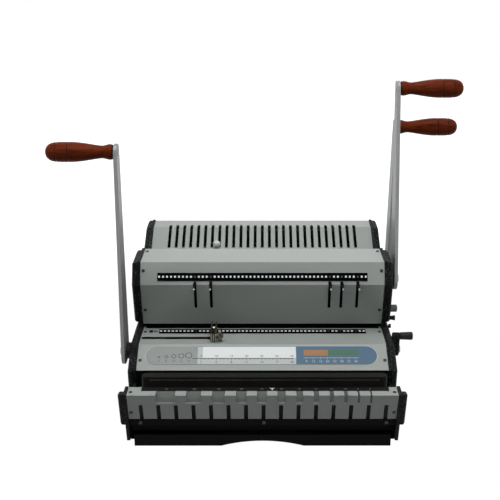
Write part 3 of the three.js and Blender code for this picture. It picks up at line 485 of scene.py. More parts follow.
def surfaceFinish(name, given):
    look = {**plainLook, **given}
    material, tree = startMaterial(name)
    inputs = {
        "Low Color": solid(look["dark"]),
        "High Color": solid(look["light"]),
        "Stretch": look["stretch"],
        "Fine Scale": look["fineScale"],
        "Broad Scale": look["broadScale"],
        "Fine Share": look["fineShare"],
        "Low Roughness": look["roughness"][0],
        "High Roughness": look["roughness"][1],
    }
    texture = useGroup(tree, surfaceTexture, inputs)
    layers = []
    if "flecks" in look:
        scale, level, amount, *over = look["flecks"]
        layers.append((over, paleFlecks, {"Scale": scale, "Level": level, "Amount": amount}))
    if "dust" in look:
        amount, *over = look["dust"]
        layers.append((over, settledDust, {"Amount": amount}))
    if "edge" in look:
        amount, *over = look["edge"]
        layers.append((over, wornEdge, {"Radius": look["edgeRadius"] * mm, "Amount": amount}))
    colour = texture["Color"]
    for over, group, inputs in layers:
        colour = mixColours(tree, useGroup(tree, group, inputs)["Mask"], colour, solid(over))
    inputs = {
        "Base Color": colour,
        "Roughness": texture["Roughness"],
        "Emission Color": solid(look["light"]),
        "Emission Strength": look["glow"],
        "Metallic": look["metallic"],
        "Specular IOR Level": look["specular"],
        "Coat Weight": look["coat"],
        "Coat Roughness": look["coatRoughness"],
        "Normal": addRelief(tree, texture["Height"], look["relief"], look["reliefDepth"]),
    }
    putSurface(tree, addNode(tree, "BsdfPrincipled", inputs).outputs[0])
    return material


finishes = dict(
    # Flecks: scale, level, share and colour; dust and edge: share and colour; the edge layer is edge wear
    # and a painted highlight
    panelPaint=dict(
        dark=(0.42, 0.455, 0.43), light=(0.485, 0.525, 0.50), fineScale=1500.0, broadScale=9.0,
        fineShare=0.55, roughness=(0.36, 0.5), relief=0.35, reliefDepth=0.12,
        dust=(0.06, 0.56, 0.57, 0.54), edge=(0.55, 0.62, 0.65, 0.63), edgeRadius=0.7, specular=0.45,
    ),
    blackTexture=dict(
        dark=(0.0018, 0.002, 0.0024), light=(0.006, 0.0068, 0.0075), fineScale=1100.0, broadScale=20.0,
        fineShare=0.8, roughness=(0.5, 0.7), relief=0.8, reliefDepth=0.3,
        flecks=(330.0, 0.56, 0.85, 0.07, 0.077, 0.08), edge=(0.4, 0.08, 0.087, 0.092), edgeRadius=1.1,
        specular=0.09,
    ),
    blackSatin=dict(
        dark=(0.0022, 0.0022, 0.0024), light=(0.0048, 0.0047, 0.0047), fineScale=1600.0, broadScale=12.0,
        roughness=(0.5, 0.65), relief=0.3, dust=(0.02, 0.04, 0.04, 0.038), edge=(0.25, 0.03, 0.03, 0.031),
        specular=0.06,
    ),
    closerBlack=dict(
        dark=(0.0115, 0.0118, 0.011), light=(0.0235, 0.024, 0.0225), fineScale=700.0, broadScale=25.0,
        roughness=(0.45, 0.65), relief=0.4, dust=(0.05, 0.05, 0.048, 0.045), edge=(0.2, 0.05, 0.05, 0.047),
        specular=0.05,
    ),
    leverSteel=dict(
        dark=(0.28, 0.29, 0.285), light=(0.41, 0.425, 0.415), stretch=(1.0, 1.0, 0.06), fineScale=1400.0,
        broadScale=10.0, fineShare=0.5, roughness=(0.4, 0.55), metallic=0.35, relief=0.18,
        edge=(0.5, 0.5, 0.52, 0.52), specular=0.35,
    ),
    machinedSteel=dict(
        dark=(0.2, 0.205, 0.21), light=(0.34, 0.345, 0.35), stretch=(0.05, 1.0, 1.0), fineScale=1800.0,
        roughness=(0.3, 0.48), metallic=0.9, relief=0.2, edge=(0.4, 0.55, 0.56, 0.57),
    ),
    darkSteel=dict(
        dark=(0.004, 0.0045, 0.006), light=(0.011, 0.012, 0.015), stretch=(0.08, 1.0, 1.0),
        fineScale=1500.0, roughness=(0.5, 0.65), relief=0.25, edge=(0.3, 0.06, 0.065, 0.07), specular=0.1,
    ),
    knobGrey=dict(
        dark=(0.05, 0.052, 0.053), light=(0.11, 0.113, 0.112), fineScale=1300.0, roughness=(0.35, 0.5),
        metallic=0.35, relief=0.3, edge=(0.5, 0.3, 0.31, 0.3),
    ),
    zincPlate=dict(
        dark=(0.38, 0.34, 0.24), light=(0.62, 0.58, 0.47), stretch=(1.0, 0.2, 1.0), fineScale=900.0,
        broadScale=60.0, fineShare=0.35, roughness=(0.22, 0.4), metallic=0.9, relief=0.2,
        edge=(0.5, 0.85, 0.82, 0.72),
    ),
    oldBrass=dict(
        dark=(0.03, 0.027, 0.017), light=(0.15, 0.135, 0.09), fineScale=1000.0, broadScale=90.0,
        fineShare=0.35, roughness=(0.28, 0.45), metallic=0.75, relief=0.25, edge=(0.7, 0.6, 0.57, 0.47),
        edgeRadius=0.35,
    ),
    lavenderPlate=dict(
        dark=(0.2, 0.2, 0.235), light=(0.27, 0.27, 0.31), fineScale=900.0, roughness=(0.35, 0.5),
        relief=0.1,
    ),
    darkBandWood=dict(
        dark=(0.006, 0.0025, 0.0015), light=(0.016, 0.006, 0.003), stretch=(0.1, 1.0, 1.0),
        fineScale=900.0, roughness=(0.5, 0.65), relief=0.3, specular=0.1,
    ),
    # The pale edge of the black screws is a painted highlight
    screwBlack=dict(
        dark=(0.005, 0.005, 0.005), light=(0.014, 0.014, 0.014), fineScale=2500.0, roughness=(0.3, 0.42),
        relief=0.2, edge=(0.8, 0.34, 0.345, 0.34), edgeRadius=0.25,
    ),
    screwSteel=dict(
        dark=(0.22, 0.22, 0.22), light=(0.42, 0.42, 0.415), fineScale=2500.0, roughness=(0.25, 0.42),
        metallic=0.95, relief=0.15, edge=(0.5, 0.75, 0.75, 0.74), edgeRadius=0.3,
    ),
    whitePlastic=dict(
        dark=(0.78, 0.79, 0.76), light=(0.87, 0.88, 0.85), fineScale=700.0, roughness=(0.22, 0.32),
        relief=0.05, coat=0.2,
    ),
    blackPlastic=dict(
        dark=(0.0035, 0.0035, 0.0035), light=(0.009, 0.009, 0.009), fineScale=1200.0,
        roughness=(0.4, 0.55), relief=0.35, edge=(0.25, 0.05, 0.05, 0.05), specular=0.2,
    ),
    stripBlack=dict(
        dark=(0.0012, 0.0015, 0.0025), light=(0.003, 0.0034, 0.005), fineScale=900.0, roughness=(0.4, 0.5),
        relief=0.08, specular=0.0,
    ),
    labelFilm=dict(
        dark=(0.30, 0.335, 0.325), light=(0.35, 0.385, 0.375), fineScale=500.0, broadScale=6.0,
        fineShare=0.3, roughness=(0.28, 0.36), relief=0.05, coat=0.25,
    ),
    footRubber=dict(
        dark=(0.008, 0.008, 0.008), light=(0.02, 0.02, 0.02), fineScale=1000.0, roughness=(0.75, 0.9),
        relief=0.5,
    ),
)

inks = dict(
    inkWhite=(0.88, 0.92, 0.915), inkPale=(0.62, 0.66, 0.66), inkDim=(0.3, 0.31, 0.31),
    inkGrey=(0.02, 0.022, 0.025), inkBlack=(0.02, 0.02, 0.022), inkBlue=(0.06, 0.155, 0.26),
    inkOrange=(0.46, 0.21, 0.07), inkGreen=(0.035, 0.16, 0.10), inkRed=(0.25, 0.012, 0.02),
    dotLight=(0.9, 0.92, 0.92), dotDark=(0.05, 0.055, 0.06),
)
# Bright inks glow a little: a painted glow that makes them brighter than the lamps alone
inkGlow = dict(inkWhite=0.14, inkPale=0.05, dotLight=0.2)
# Printed ink is nearly even, with a faint grain
inkGrain = dict(fineScale=1200.0, roughness=(0.35, 0.45), relief=0.04)
inkShade = 0.93
for name, colour in inks.items():
    dark = tuple(inkShade * part for part in colour)
    finishes[name] = dict(dark=dark, light=colour, glow=inkGlow.get(name, 0.0), **inkGrain)

looks = {name: surfaceFinish(name, look) for name, look in finishes.items()}

wood = dict(
    grainScale=260.0, poreScale=1300.0, stretch=(0.09, 1.0, 1.0),
    # Place and colour of both ends of the grain's ramp
    ramp=((0.3, (0.09, 0.011, 0.003)), (0.72, (0.25, 0.041, 0.0085))), poreColour=(0.04, 0.007, 0.002),
    poreLevels=(0.6, 0.72), poreShare=0.6, roughness=(0.3, 0.5), specular=0.06, relief=(0.25, 0.1),
)


def makeWood():
    # Straight red-brown grain that runs along the grip, with fine dark pores
    group, given, out = newGroup("woodFigure", {"Grain Scale": 1, "Pore Scale": 1}, textureOutputs)
    place = stretchPlace(group, objectPlace(group), wood["stretch"])
    grain = noiseOn(group, place, given["Grain Scale"], 5.0, 0.6)
    pores = noiseOn(group, place, given["Pore Scale"], 2.0)
    ramp = addNode(group, "ValToRGB", {"Fac": grain})
    for element, (position, colour) in zip(ramp.color_ramp.elements, wood["ramp"]):
        element.position = position
        element.color = solid(colour)
    poreMask = spreadOut(group, pores, *wood["poreLevels"], toMax=wood["poreShare"])
    colour = mixColours(group, poreMask, ramp.outputs["Color"], solid(wood["poreColour"]))
    rough = spreadOut(group, grain, toMin=wood["roughness"][0], toMax=wood["roughness"][1])
    for label, value in (("Color", colour), ("Roughness", rough), ("Height", pores)):
        feed(group, out[label], value)
    material, tree = startMaterial("turnedWood")
    figure = useGroup(tree, group, {"Grain Scale": wood["grainScale"], "Pore Scale": wood["poreScale"]})
    inputs = {
        "Base Color": figure["Color"],
        "Roughness": figure["Roughness"],
        "Specular IOR Level": wood["specular"],
        "Normal": addRelief(tree, figure["Height"], *wood["relief"]),
    }
    putSurface(tree, addNode(tree, "BsdfPrincipled", inputs).outputs[0])
    return material


def makeFloorMaterial():
    # Takes soft shade near the object and glows white further out
    material, tree = startMaterial("studioFloor")
    inputs = {
        "Base Color": studio["floorColour"],
        "Roughness": studio["floorRoughness"],
        "Specular IOR Level": 0.0,
    }
    shader = addNode(tree, "BsdfPrincipled", inputs)
    glow = addNode(tree, "Emission", {"Color": studio["white"], "Strength": studio["floorGlow"]})
    reach = addNode(tree, "VectorMath", {0: objectPlace(tree)}, operation="LENGTH").outputs["Value"]
    farAway = spreadOut(tree, reach, *studio["glowReach"], toMin=studio["glowShare"], curve="SMOOTHSTEP")
    share = times(tree, isRay(tree, "Camera", "Glossy"), farAway)
    putSurface(tree, mixShaders(tree, share, shader.outputs[0], glow.outputs[0]))
    return material


looks["turnedWood"] = makeWood()
looks["studioFloor"] = makeFloorMaterial()

deselectAll()
bpy.ops.mesh.primitive_plane_add(size=studio["floorSize"], location=(0.0, 0.0, -studio["floorDrop"]))
floor = bpy.context.object
floor.name = "studio_floor"
paintPiece(floor, "studioFloor")

print("materials ready:", len(looks))


skins = [
    # finish, record slot, edge softening of each node
    ("panelPaint", "panel_paint", dict(
        gauge_panel=0.35, gauge_back_plate=0.3, rear_deck_panel=0.3, lower_deck_panel=0.45,
        upper_housing_panel=0.45, rear_housing_panel=0.4,
    )),
    ("blackSatin", "black_satin", dict(front_crossbar=0.5, back_cover=0.4, base_tray=0.5, chip_tray=0.5)),
    ("blackTexture", "black_satin", dict(left_frame_plate=0.5, right_frame_plate=0.5)),
    ("closerBlack", "black_satin", dict(closer_bar=4.5)),
    ("darkSteel", "dark_steel", dict(closer_bed=0.4, paper_stop=0.3)),
    # The die sets and the rear punch beam are machined steel coloured near black: painted shade for the
    # dark throats they sit in
    ("darkSteel", "machined_steel", dict(upper_die_set=0.3, rear_die_set=0.3, rear_punch_beam=0.2)),
    # The upper punch beam is machined steel coloured black: painted shade seen through the pull slots
    ("blackSatin", "machined_steel", dict(upper_punch_beam=0.2)),
    ("oldBrass", "zinc_plate", dict(lower_edge_guide=0.25)),
    ("zincPlate", "zinc_plate", dict(rear_edge_guide=0.25)),
    ("labelFilm", "label_film", dict(label_plate=0.15)),
    ("stripBlack", "black_plastic", dict(upper_pin_strip=0.15, lower_pin_strip=0.15)),
]
ownBodies = (
    "chip_tray", "closer_bar", "paper_stop", "rear_punch_beam", "upper_punch_beam", "lower_edge_guide",
    "rear_edge_guide",
)
shafts = ("closer_lever", "punch_lever", "rear_lever", "crank")
feet = ("front_left_foot", "front_right_foot", "back_left_foot", "back_right_foot")
skins.append(("machinedSteel", "machined_steel", {name + "_shaft": 0.4 for name in shafts}))
skins.append(("footRubber", "foot_rubber", {foot: 0.5 for foot in feet}))

# Black on the lower panel's lip, the top of the gauge's plate and the ends of the shafts; the lower panel's
# faces that look down and the walls of its slot are black as painted shade
black = dict(lipTop=83.0, slotMiddle=185.5, slotReach=9.0, plateFrom=90.0, shaftFrom=200.0)


def blackOnPanel(middle, normal):
    nearSlot = abs(middle.y - black["slotMiddle"]) < black["slotReach"]
    return middle.z < black["lipTop"] or normal.z < -0.2 or normal.z < 0.3 and nearSlot


def blackOnPlate(middle, normal):
    return middle.z > black["plateFrom"]


def blackOnShaft(middle, normal):
    return abs(middle.x) > black["shaftFrom"]


# Node: second finish and where it goes
secondFinish = {name + "_shaft": ("blackPlastic", blackOnShaft) for name in shafts}
secondFinish["lower_deck_panel"] = ("blackSatin", blackOnPanel)
secondFinish["gauge_back_plate"] = ("blackSatin", blackOnPlate)

for look, slot, softenings in skins:
    for node, softening in softenings.items():
        name = node.removesuffix("_shaft")
        skin = mergedCopy(node)
        softenEdges(skin, softening)
        paintPiece(skin, look)
        if node in secondFinish:
            paintFaces(skin, *secondFinish[node])
        finishPiece(skin, name if name in ownBodies + shafts else "frame", None, slot, node)

cover = dict(
    softening=0.35, sharpest=25.0,
    chamfers={"lower_cover": 2.6, "upper_cover": 2.6, "rear_cover": 2.6, "front_cap": 2.2},
)
for kind, chamfer in cover["chamfers"].items():
    for side, sign in (("left", -1), ("right", 1)):
        node = f"{side}_{kind}"
        skin = mergedCopy(node)
        chamferSide(skin, sign, chamfer)
        softenEdges(skin, cover["softening"], angle=cover["sharpest"])
        finishPiece(skin, "frame", "blackTexture", "black_texture", node)

# A thin pale line along the front edge of the closer bar, a painted highlight
closerHighlight = dict(size=(344.0, 0.7), height=0.3, bevel=0.1, place=(3.0, 62.1, 90.2))
highlightOutline = middleRectangle(*closerHighlight["size"])
line = outlinePiece("closer_bar_highlight", highlightOutline, closerHighlight["height"], closerHighlight["bevel"])
settle(line, at(*closerHighlight["place"]), toFront)
finishPiece(line, "closer_bar", "knobGrey", "black_satin")

print("panels, covers and inner parts dressed")


lever = dict(
    barThickness=5.9, foot=(17.4, 9.6), head=(11.0, 3.5), edge=0.9, groovePlaces=(68.5, 86.5),
    grooveDepth=0.5, grooveHalf=0.8, collar=2.4, gripBelowTop=1.0, gripGap=0.3, boltGap=0.2,
    boltRadius=7.4, boltHeight=3.9, boltEdge=0.6, washerHeight=1.0, washerWider=1.9, washerEdge=0.3,
    rivetSink=0.05,
    rivet=[(0.0, 0.0), (6.2, 0.0), (6.2, 0.5), (5.2, 1.1), (3.4, 1.2), (3.0, 0.8), (0.0, 0.8)],
    # Place along the grip and radius there
    gripRings=[
        (0.0, 9.0), (1.2, 10.8), (4.0, 11.7), (7.5, 11.7), (11.0, 10.8), (14.5, 9.9), (18.0, 9.7),
        (24.0, 10.3), (33.0, 11.7), (43.0, 13.3), (53.0, 14.5), (61.0, 15.1), (70.0, 15.2),
        (79.0, 15.1), (87.0, 14.8), (93.0, 13.6), (97.5, 11.5), (100.5, 8.6), (102.3, 5.0), (103.0, 0.0),
    ],
)


def smoothRings(rings, between=3):
    # Rounds a turner's profile with a curve through its rings
    points = []
    for i in range(len(rings) - 1):
        before, after = rings[max(i - 1, 0)], rings[min(i + 2, len(rings) - 1)]
        start, end = rings[i], rings[i + 1]
        startSlope, endSlope = 0.5 * (end[1] - before[1]), 0.5 * (after[1] - start[1])
        for k in range(between):
            t = k / between
            toEnd = 3 * t**2 - 2 * t**3
            ends = (1 - toEnd) * start[1] + toEnd * end[1]
            slopes = (t**3 - 2 * t**2 + t) * startSlope + (t**3 - t**2) * endSlope
            points.append((start[0] + (end[0] - start[0]) * t, ends + slopes))
    return points + [rings[-1]]


def gripProfile():
    rings = smoothRings(lever["gripRings"])
    half, depth = lever["grooveHalf"], lever["grooveDepth"]
    grooves = []
    for place in lever["groovePlaces"]:
        radius = min(rings, key=lambda ring: abs(ring[0] - place))[1]
        rings = [ring for ring in rings if abs(ring[0] - place) > 1.6 * half]
        for offset, cut in ((-1.4, 0.0), (-0.5, depth), (0.5, depth), (1.4, 0.0)):
            grooves.append((place + offset * half, radius - cut))
    return [(0.0, 0.0)] + [(radius, along) for along, radius in sorted(rings + grooves)]


def barOutline(foot, head, length, steps=10):
    # Foot and head are a corner radius and how far the corners' centres stand beside the middle
    (footRadius, footSpread), (headRadius, headSpread) = foot, head
    spread = footSpread - headSpread
    tilt = math.asin((footRadius - headRadius) / math.hypot(spread, length)) + math.atan2(spread, length)
    quarter = 0.5 * math.pi
    corners = [
        # centre, radius, first angle, last angle
        (footSpread, 0.0, footRadius, -quarter, tilt),
        (headSpread, length, headRadius, tilt, quarter),
        (-headSpread, length, headRadius, quarter, math.pi - tilt),
        (-footSpread, 0.0, footRadius, math.pi - tilt, math.pi + quarter),
    ]
    points, tooClose = [], 0.01
    for x, y, radius, first, last in corners:
        for i in range(steps + 1):
            point = onCircle(radius, first + (last - first) * i / steps, x, y)
            if not points or math.dist(point, points[-1]) > tooClose:
                points.append(point)
    if math.dist(points[0], points[-1]) < tooClose:
        points.pop()
    return points


def boltHead(name):
    # Six-sided head on a washer
    radius, thick, edge = lever["boltRadius"], lever["washerHeight"], lever["washerEdge"]
    corners = [onCircle(radius, math.radians(60 * i + 30)) for i in range(6)]
    head = outlinePiece(name, corners, lever["boltHeight"] - thick, bevel=lever["boltEdge"])
    settle(head, (0.0, 0.0, thick * mm))
    rim = radius + lever["washerWider"]
    side = [(rim - edge, 0.0), (rim, edge), (rim, thick - edge), (rim - edge, thick)]
    washer = turnedPiece(name + "_washer", [(0.0, 0.0), *side, (0.0, thick)])
    return joinPieces([head, washer], name)


gripMaster = turnedPiece("grip_master", gripProfile(), steps=40)
paintPiece(gripMaster, "turnedWood")
# The grooves and the end that meets the bar are coloured dark
darkBandPlaces = [(place, 0.8 * lever["grooveHalf"]) for place in lever["groovePlaces"]]
darkBandPlaces.append((0.0, lever["collar"]))
paintFaces(
    gripMaster,
    "darkBandWood",
    lambda middle, normal: any(abs(middle.z - place) < half for place, half in darkBandPlaces),
)
rivetMaster = turnedPiece("rivet_master", lever["rivet"], steps=24)

levers = dict(
    # name: side, pivot (y, z), length, lean in degrees, bar's inner face
    closer_lever=(-1, (176.0, 92.5), 325.0, 2.3, 216.7),
    punch_lever=(1, (272.0, 184.0), 313.0, -6.8, 216.7),
    rear_lever=(1, (448.0, 105.0), 317.0, 8.9, 227.0),
)

for name, (side, pivot, length, lean, inner) in levers.items():
    outer = inner + lever["barThickness"]
    outline = barOutline(lever["foot"], lever["head"], length)
    bar = outlinePiece(name + "_bar_skin", outline, lever["barThickness"], lever["edge"])
    settle(bar, origin, onSide)
    settle(bar, at(inner if side > 0 else -outer, *pivot), (lean, 0.0, 0.0))
    finishPiece(bar, name, "leverSteel", "satin_steel", name + "_bar")

    # The grip, and its rod's end riveted over on the bar's inner face
    top = onLean(pivot, length - lever["gripBelowTop"], lean)
    rivet = copyPiece(rivetMaster, name + "_rivet")
    settle(rivet, at(side * (inner - lever["rivetSink"]), *top), (0.0, -90.0 * side, 0.0))
    finishPiece(rivet, name, "screwSteel", "satin_steel")
    grip = copyPiece(gripMaster, name + "_grip_skin")
    settle(grip, at(side * (outer + lever["gripGap"]), *top), (0.0, 90.0 * side, 0.0))
    finishPiece(grip, name, None, "turned_wood", name + "_grip")

    bolt = boltHead(name + "_bolt_skin")
    settle(bolt, at(side * (outer + lever["boltGap"]), *pivot), (0.0, 90.0 * side, 0.0))
    finishPiece(bolt, name, "screwSteel", "satin_steel", name + "_bolt")

dropPiece(gripMaster)
dropPiece(rivetMaster)
print("levers ready")


def knurledOutline(radius, teeth, depth):
    points = []
    for i in range(teeth):
        for share, cut in ((0.0, 0.0), (0.3, 0.0), (0.5, depth), (0.8, depth)):
            points.append(onCircle(radius - cut, 2 * math.pi * (i + share) / teeth))
    return points


knobs = dict(
    # Rim: radius, teeth, depth of the teeth, start, length, bevel and its segments
    margin_knob=dict(
        rim=(6.0, 22, 0.5, 0.7, 10.6, 0.6, 2),
        cap=[(0.0, 12.2), (3.6, 12.1), (4.4, 11.8), (4.6, 11.2), (0.0, 11.2)],
        core=[(0.0, -10.0), (2.4, -10.0), (2.4, 0.8), (0.0, 0.8)],
        coreSteps=20, place=(208.5, 230.0, 145.0), finish=("knobGrey", "dark_steel"),
    ),
    lower_guide_knob=dict(
        rim=(6.8, 24, 0.55, 3.4, 5.0, 0.3, 1),
        core=[
            (0.0, -3.4), (1.6, -3.4), (1.6, 0.4), (4.2, 0.4), (4.2, 3.5), (4.6, 3.9), (4.6, 8.2),
            (3.9, 8.9), (3.4, 11.0), (2.8, 11.3), (0.0, 11.3),
        ],
        coreSteps=32, place=(-73.5, 170.0, 119.7606), finish=("oldBrass", "zinc_plate"),
    ),
)
for name, knob in knobs.items():
    radius, teeth, depth, start, length, bevel, segments = knob["rim"]
    rim = outlinePiece(name + "_rim", knurledOutline(radius, teeth, depth), length, bevel, segments)
    settle(rim, (0.0, 0.0, start * mm))
    parts = [rim, turnedPiece(name + "_core", knob["core"], steps=knob["coreSteps"])]
    if "cap" in knob:
        parts.append(turnedPiece(name + "_cap", knob["cap"]))
    piece = joinPieces(parts, name + "_skin")
    settle(piece, at(*knob["place"]), toRight)
    finishPiece(piece, name, *knob["finish"], name)

crank = dict(
    inner=209.5, thickness=12.2, pivot=(206.0, 83.0), length=29.0, lean=22.0, foot=(11.0, 0.0),
    head=(5.8, 0.0), edge=1.8, edgeSteps=4, handleGap=0.3,
)
armOutline = barOutline(crank["foot"], crank["head"], crank["length"])
arm = outlinePiece("crank_arm_skin", armOutline, crank["thickness"], crank["edge"], crank["edgeSteps"])
settle(arm, origin, onSide)
settle(arm, at(crank["inner"], *crank["pivot"]), (crank["lean"], 0.0, 0.0))
finishPiece(arm, "crank", "blackTexture", "black_texture", "crank_arm")
handleX = crank["inner"] + crank["thickness"] + crank["handleGap"]
handlePlace = (handleX, *onLean(crank["pivot"], crank["length"], crank["lean"]))

turned = dict(
    # node: body, finish, record slot, place, turn, profile
    depth_lock_knob=(
        "depth_lock_knob", "blackPlastic", "black_plastic", (208.5, 238.0, 125.5), toRight,
        [
            (0.0, -10.0), (2.4, -10.0), (2.4, 0.4), (3.2, 0.6), (3.4, 4.0), (3.7, 6.6), (4.3, 9.2),
            (4.4, 9.9), (4.0, 10.3), (0.0, 10.4),
        ],
    ),
    rear_guide_knob=(
        "rear_guide_knob", "whitePlastic", "white_plastic", (-78.0, 324.5, 224.8), unturned,
        [
            (0.0, -9.8), (1.65, -9.8), (1.65, 0.4), (5.0, 0.4), (6.1, 1.0), (6.3, 2.2), (6.3, 4.4),
            (5.7, 6.2), (4.4, 7.6), (2.4, 8.5), (0.0, 8.8),
        ],
    ),
    crank_handle=(
        "crank", "blackPlastic", "black_plastic", handlePlace, toRight,
        [
            (0.0, 0.0), (5.4, 0.0), (5.9, 0.6), (6.0, 3.0), (6.2, 8.0), (6.5, 14.5), (6.6, 18.0),
            (6.2, 19.6), (5.2, 20.4), (0.0, 20.5),
        ],
    ),
)
for node, (body, look, slot, place, turn, profile) in turned.items():
    piece = turnedPiece(node + "_skin", profile)
    settle(piece, at(*place), turn)
    finishPiece(piece, body, look, slot, node)

pins = dict(count=53, middle=27, pitch=6.35, pulled=(10, 14, 44, 47, 51))


def pinX(pin):
    return (pin - pins["middle"]) * pins["pitch"]


pull = dict(
    front=173.0, height=195.5, lightLength=5.0,
    profile=[
        (0.0, 0.0), (1.2, 0.0), (1.7, 0.4), (1.8, 1.0), (1.8, 22.7), (2.5, 22.8), (2.9, 23.3),
        (2.9, 26.8), (2.6, 27.2), (1.8, 27.3), (1.8, 75.0), (0.0, 75.0),
    ],
)
pullMaster = turnedPiece("pull_master", pull["profile"], steps=20)
paintPiece(pullMaster, "screwSteel")
for i, pin in enumerate(pins["pulled"]):
    name = f"pin_pull_{i + 1}"
    piece = copyPiece(pullMaster, name + "_skin")
    settle(piece, at(pinX(pin), pull["front"], pull["height"]), toBack)
    paintFaces(piece, "blackSatin", lambda middle, normal: middle.y > pull["front"] + pull["lightLength"])
    finishPiece(piece, name, None, "satin_steel", name)
dropPiece(pullMaster)

print("knobs, crank and pulls ready")


facets = dict(
    # facet: lower end (y, z), upper end (y, z)
    gaugeWall=((18.0, 47.8), (0.0, 93.0)),
    gaugeLedge=((0.0, 93.0), (16.0, 93.0)),
    labelSlope=((115.0, 83.5), (160.0, 109.5)),
    deck=((160.0, 109.5), (226.0, 111.5)),
    housingFront=((226.0, 119.5), (201.0, 194.3)),
    housingBand=((201.0, 194.3), (215.0, 228.4)),
    housingTop=((215.0, 228.4), (288.0, 230.0)),
)


def onFacet(facet, share, x, lift=0.0):
    # A place on a facet, and the turn in degrees that lays something flat on it
    (y0, z0), (y1, z1) = facets[facet]
    run, rise = y1 - y0, z1 - z0
    length = math.hypot(run, rise)
    place = at(x, y0 + run * share - rise / length * lift, z0 + rise * share + run / length * lift)
    return place, (math.degrees(math.atan2(rise, run)), 0.0, 0.0)


def shareOf(facet, distance):
    return distance / math.dist(*facets[facet])


small = dict(
    # piece: facet, share up the facet, x, lift, width, depth, height, finish
    # The black film on the deck under the housing's foot is painted shade for the dark throat
    throat_shade_film=("deck", 1.09, 0.0, 0.02, 381.0, 11.2, 0.5, "blackSatin"),
    strip_end_block=("deck", 0.78, -181.4, 0.02, 5.6, 9.0, 0.9, "blackPlastic"),
    strip_end_plate=("deck", 0.78, -174.0, 0.02, 6.6, 7.5, 0.7, "lavenderPlate"),
)
smallEdge = 0.3
for name, (facet, share, x, lift, wide, deep, tall, look) in small.items():
    piece = outlinePiece(name, middleRectangle(wide, deep), tall, smallEdge * min(1.0, tall))
    settle(piece, *onFacet(facet, share, x, lift))
    finishPiece(piece, "frame", look, "black_plastic")

# A small wedge on the lower cover, below the lock knob
tab = dict(
    outline=[(-3.2, -3.4), (3.4, -3.4), (3.4, -1.6), (-1.8, 3.6), (-3.2, 3.6)], length=4.0, bevel=0.4,
    place=(208.4, 238.0, 112.0),
)
piece = outlinePiece("cover_tab", tab["outline"], tab["length"], bevel=tab["bevel"])
settle(piece, origin, onSide)
settle(piece, at(*tab["place"]))
finishPiece(piece, "frame", "blackTexture", "black_texture")

# Ribs, a web and a small roller on the front edge guide
guide = dict(
    x=-78.0, front=165.5, foot=111.3, ribs=(-3.6, -0.2, 3.2), ribWidth=1.3, ribDepth=1.2, ribHeight=12.5,
    ribForward=0.9, ribEdge=0.3, web=(-4.3, 4.3, 0.0, 1.6), webBack=0.1, webHeight=11.5, webEdge=0.2,
    roller=[(0.0, 0.0), (2.2, 0.0), (3.4, 0.8), (3.0, 2.6), (3.4, 4.4), (2.2, 5.2), (0.0, 5.2)],
    rollerPlace=(-80.6, 199.0, 122.0),
)
ribOutline = rectangle(0.0, guide["ribWidth"], 0.0, guide["ribDepth"])
guideParts = []


def addToGuide(part, place, look):
    paintPiece(part, look)
    settle(part, at(*place))
    guideParts.append(part)


for i, offset in enumerate(guide["ribs"]):
    rib = outlinePiece(f"guide_rib_{i}", ribOutline, guide["ribHeight"], guide["ribEdge"])
    addToGuide(rib, (guide["x"] + offset, guide["front"] - guide["ribForward"], guide["foot"]), "zincPlate")
web = outlinePiece("guide_web", rectangle(*guide["web"]), guide["webHeight"], guide["webEdge"])
addToGuide(web, (guide["x"], guide["front"] + guide["webBack"], guide["foot"]), "oldBrass")
roller = turnedPiece("guide_roller", guide["roller"], steps=24)
settle(roller, origin, toRight)
addToGuide(roller, guide["rollerPlace"], "zincPlate")
finishPiece(joinPieces(guideParts, "guide_ribs"), "lower_edge_guide", None, "zinc_plate")

screw = dict(
    radius=2.7, height=1.5,
    # Shares of the radius and the height
    profile=[(0.0, 0.0), (1.0, 0.0), (1.0, 0.5), (0.82, 0.85), (0.5, 1.0), (0.0, 1.04)],
    crossWidth=0.75, crossLength=3.3, crossHeight=1.6,
    onPanels=[
        # facet, share up the facet, x on both sides
        ("housingTop", 0.78, 190.6), ("housingBand", 0.62, 190.6), ("housingFront", 0.367, 190.4),
        ("deck", 0.76, 190.8), ("labelSlope", 0.38, 190.9), ("gaugeLedge", 0.7, 190.6),
        ("gaugeWall", 0.29, 190.8),
    ],
    # y and z on both sides
    onCovers=[
        (164.0, 60.0), (150.0, 40.0), (300.0, 60.0), (300.0, 98.0), (232.0, 215.0), (262.0, 132.0),
        (440.0, 215.0), (360.0, 40.0), (446.0, 40.0),
    ],
    coverFace=208.5, onCrossbar=(-179.0, 2.0, 181.5), crossbarFace=(20.0, 41.0),
    onBack=[(x, z) for z in (32.0, 185.0) for x in (-180.0, 0.0, 180.0)], backFace=463.0,
)


def makeScrew():
    # A domed head with a cross cut into it
    top = screw["profile"][-1][1] * screw["height"]
    profile = [(screw["radius"] * radius, screw["height"] * height) for radius, height in screw["profile"]]
    head = turnedPiece("screw_master", profile, steps=20)
    for turn in (0.0, 90.0):
        deselectAll()
        bpy.ops.mesh.primitive_cube_add(size=1.0)
        cutter = bpy.context.object
        cutter.scale = Vector((screw["crossLength"], screw["crossWidth"], screw["crossHeight"])) * mm
        settle(cutter, (0.0, 0.0, top * mm), (0.0, 0.0, turn))
        applyModifier(head, "BOOLEAN", operation="DIFFERENCE", object=cutter, solver="EXACT")
        dropPiece(cutter)
    smoothByAngle(head)
    return head


screwMaster = makeScrew()
screws = []


def putScrew(place, turn, spin):
    piece = copyPiece(screwMaster, f"panel_screw_{len(screws) + 1}")
    settle(piece, origin, (0.0, 0.0, spin))
    settle(piece, place, turn)
    finishPiece(piece, "frame", "screwBlack", "black_satin")
    screws.append(piece)


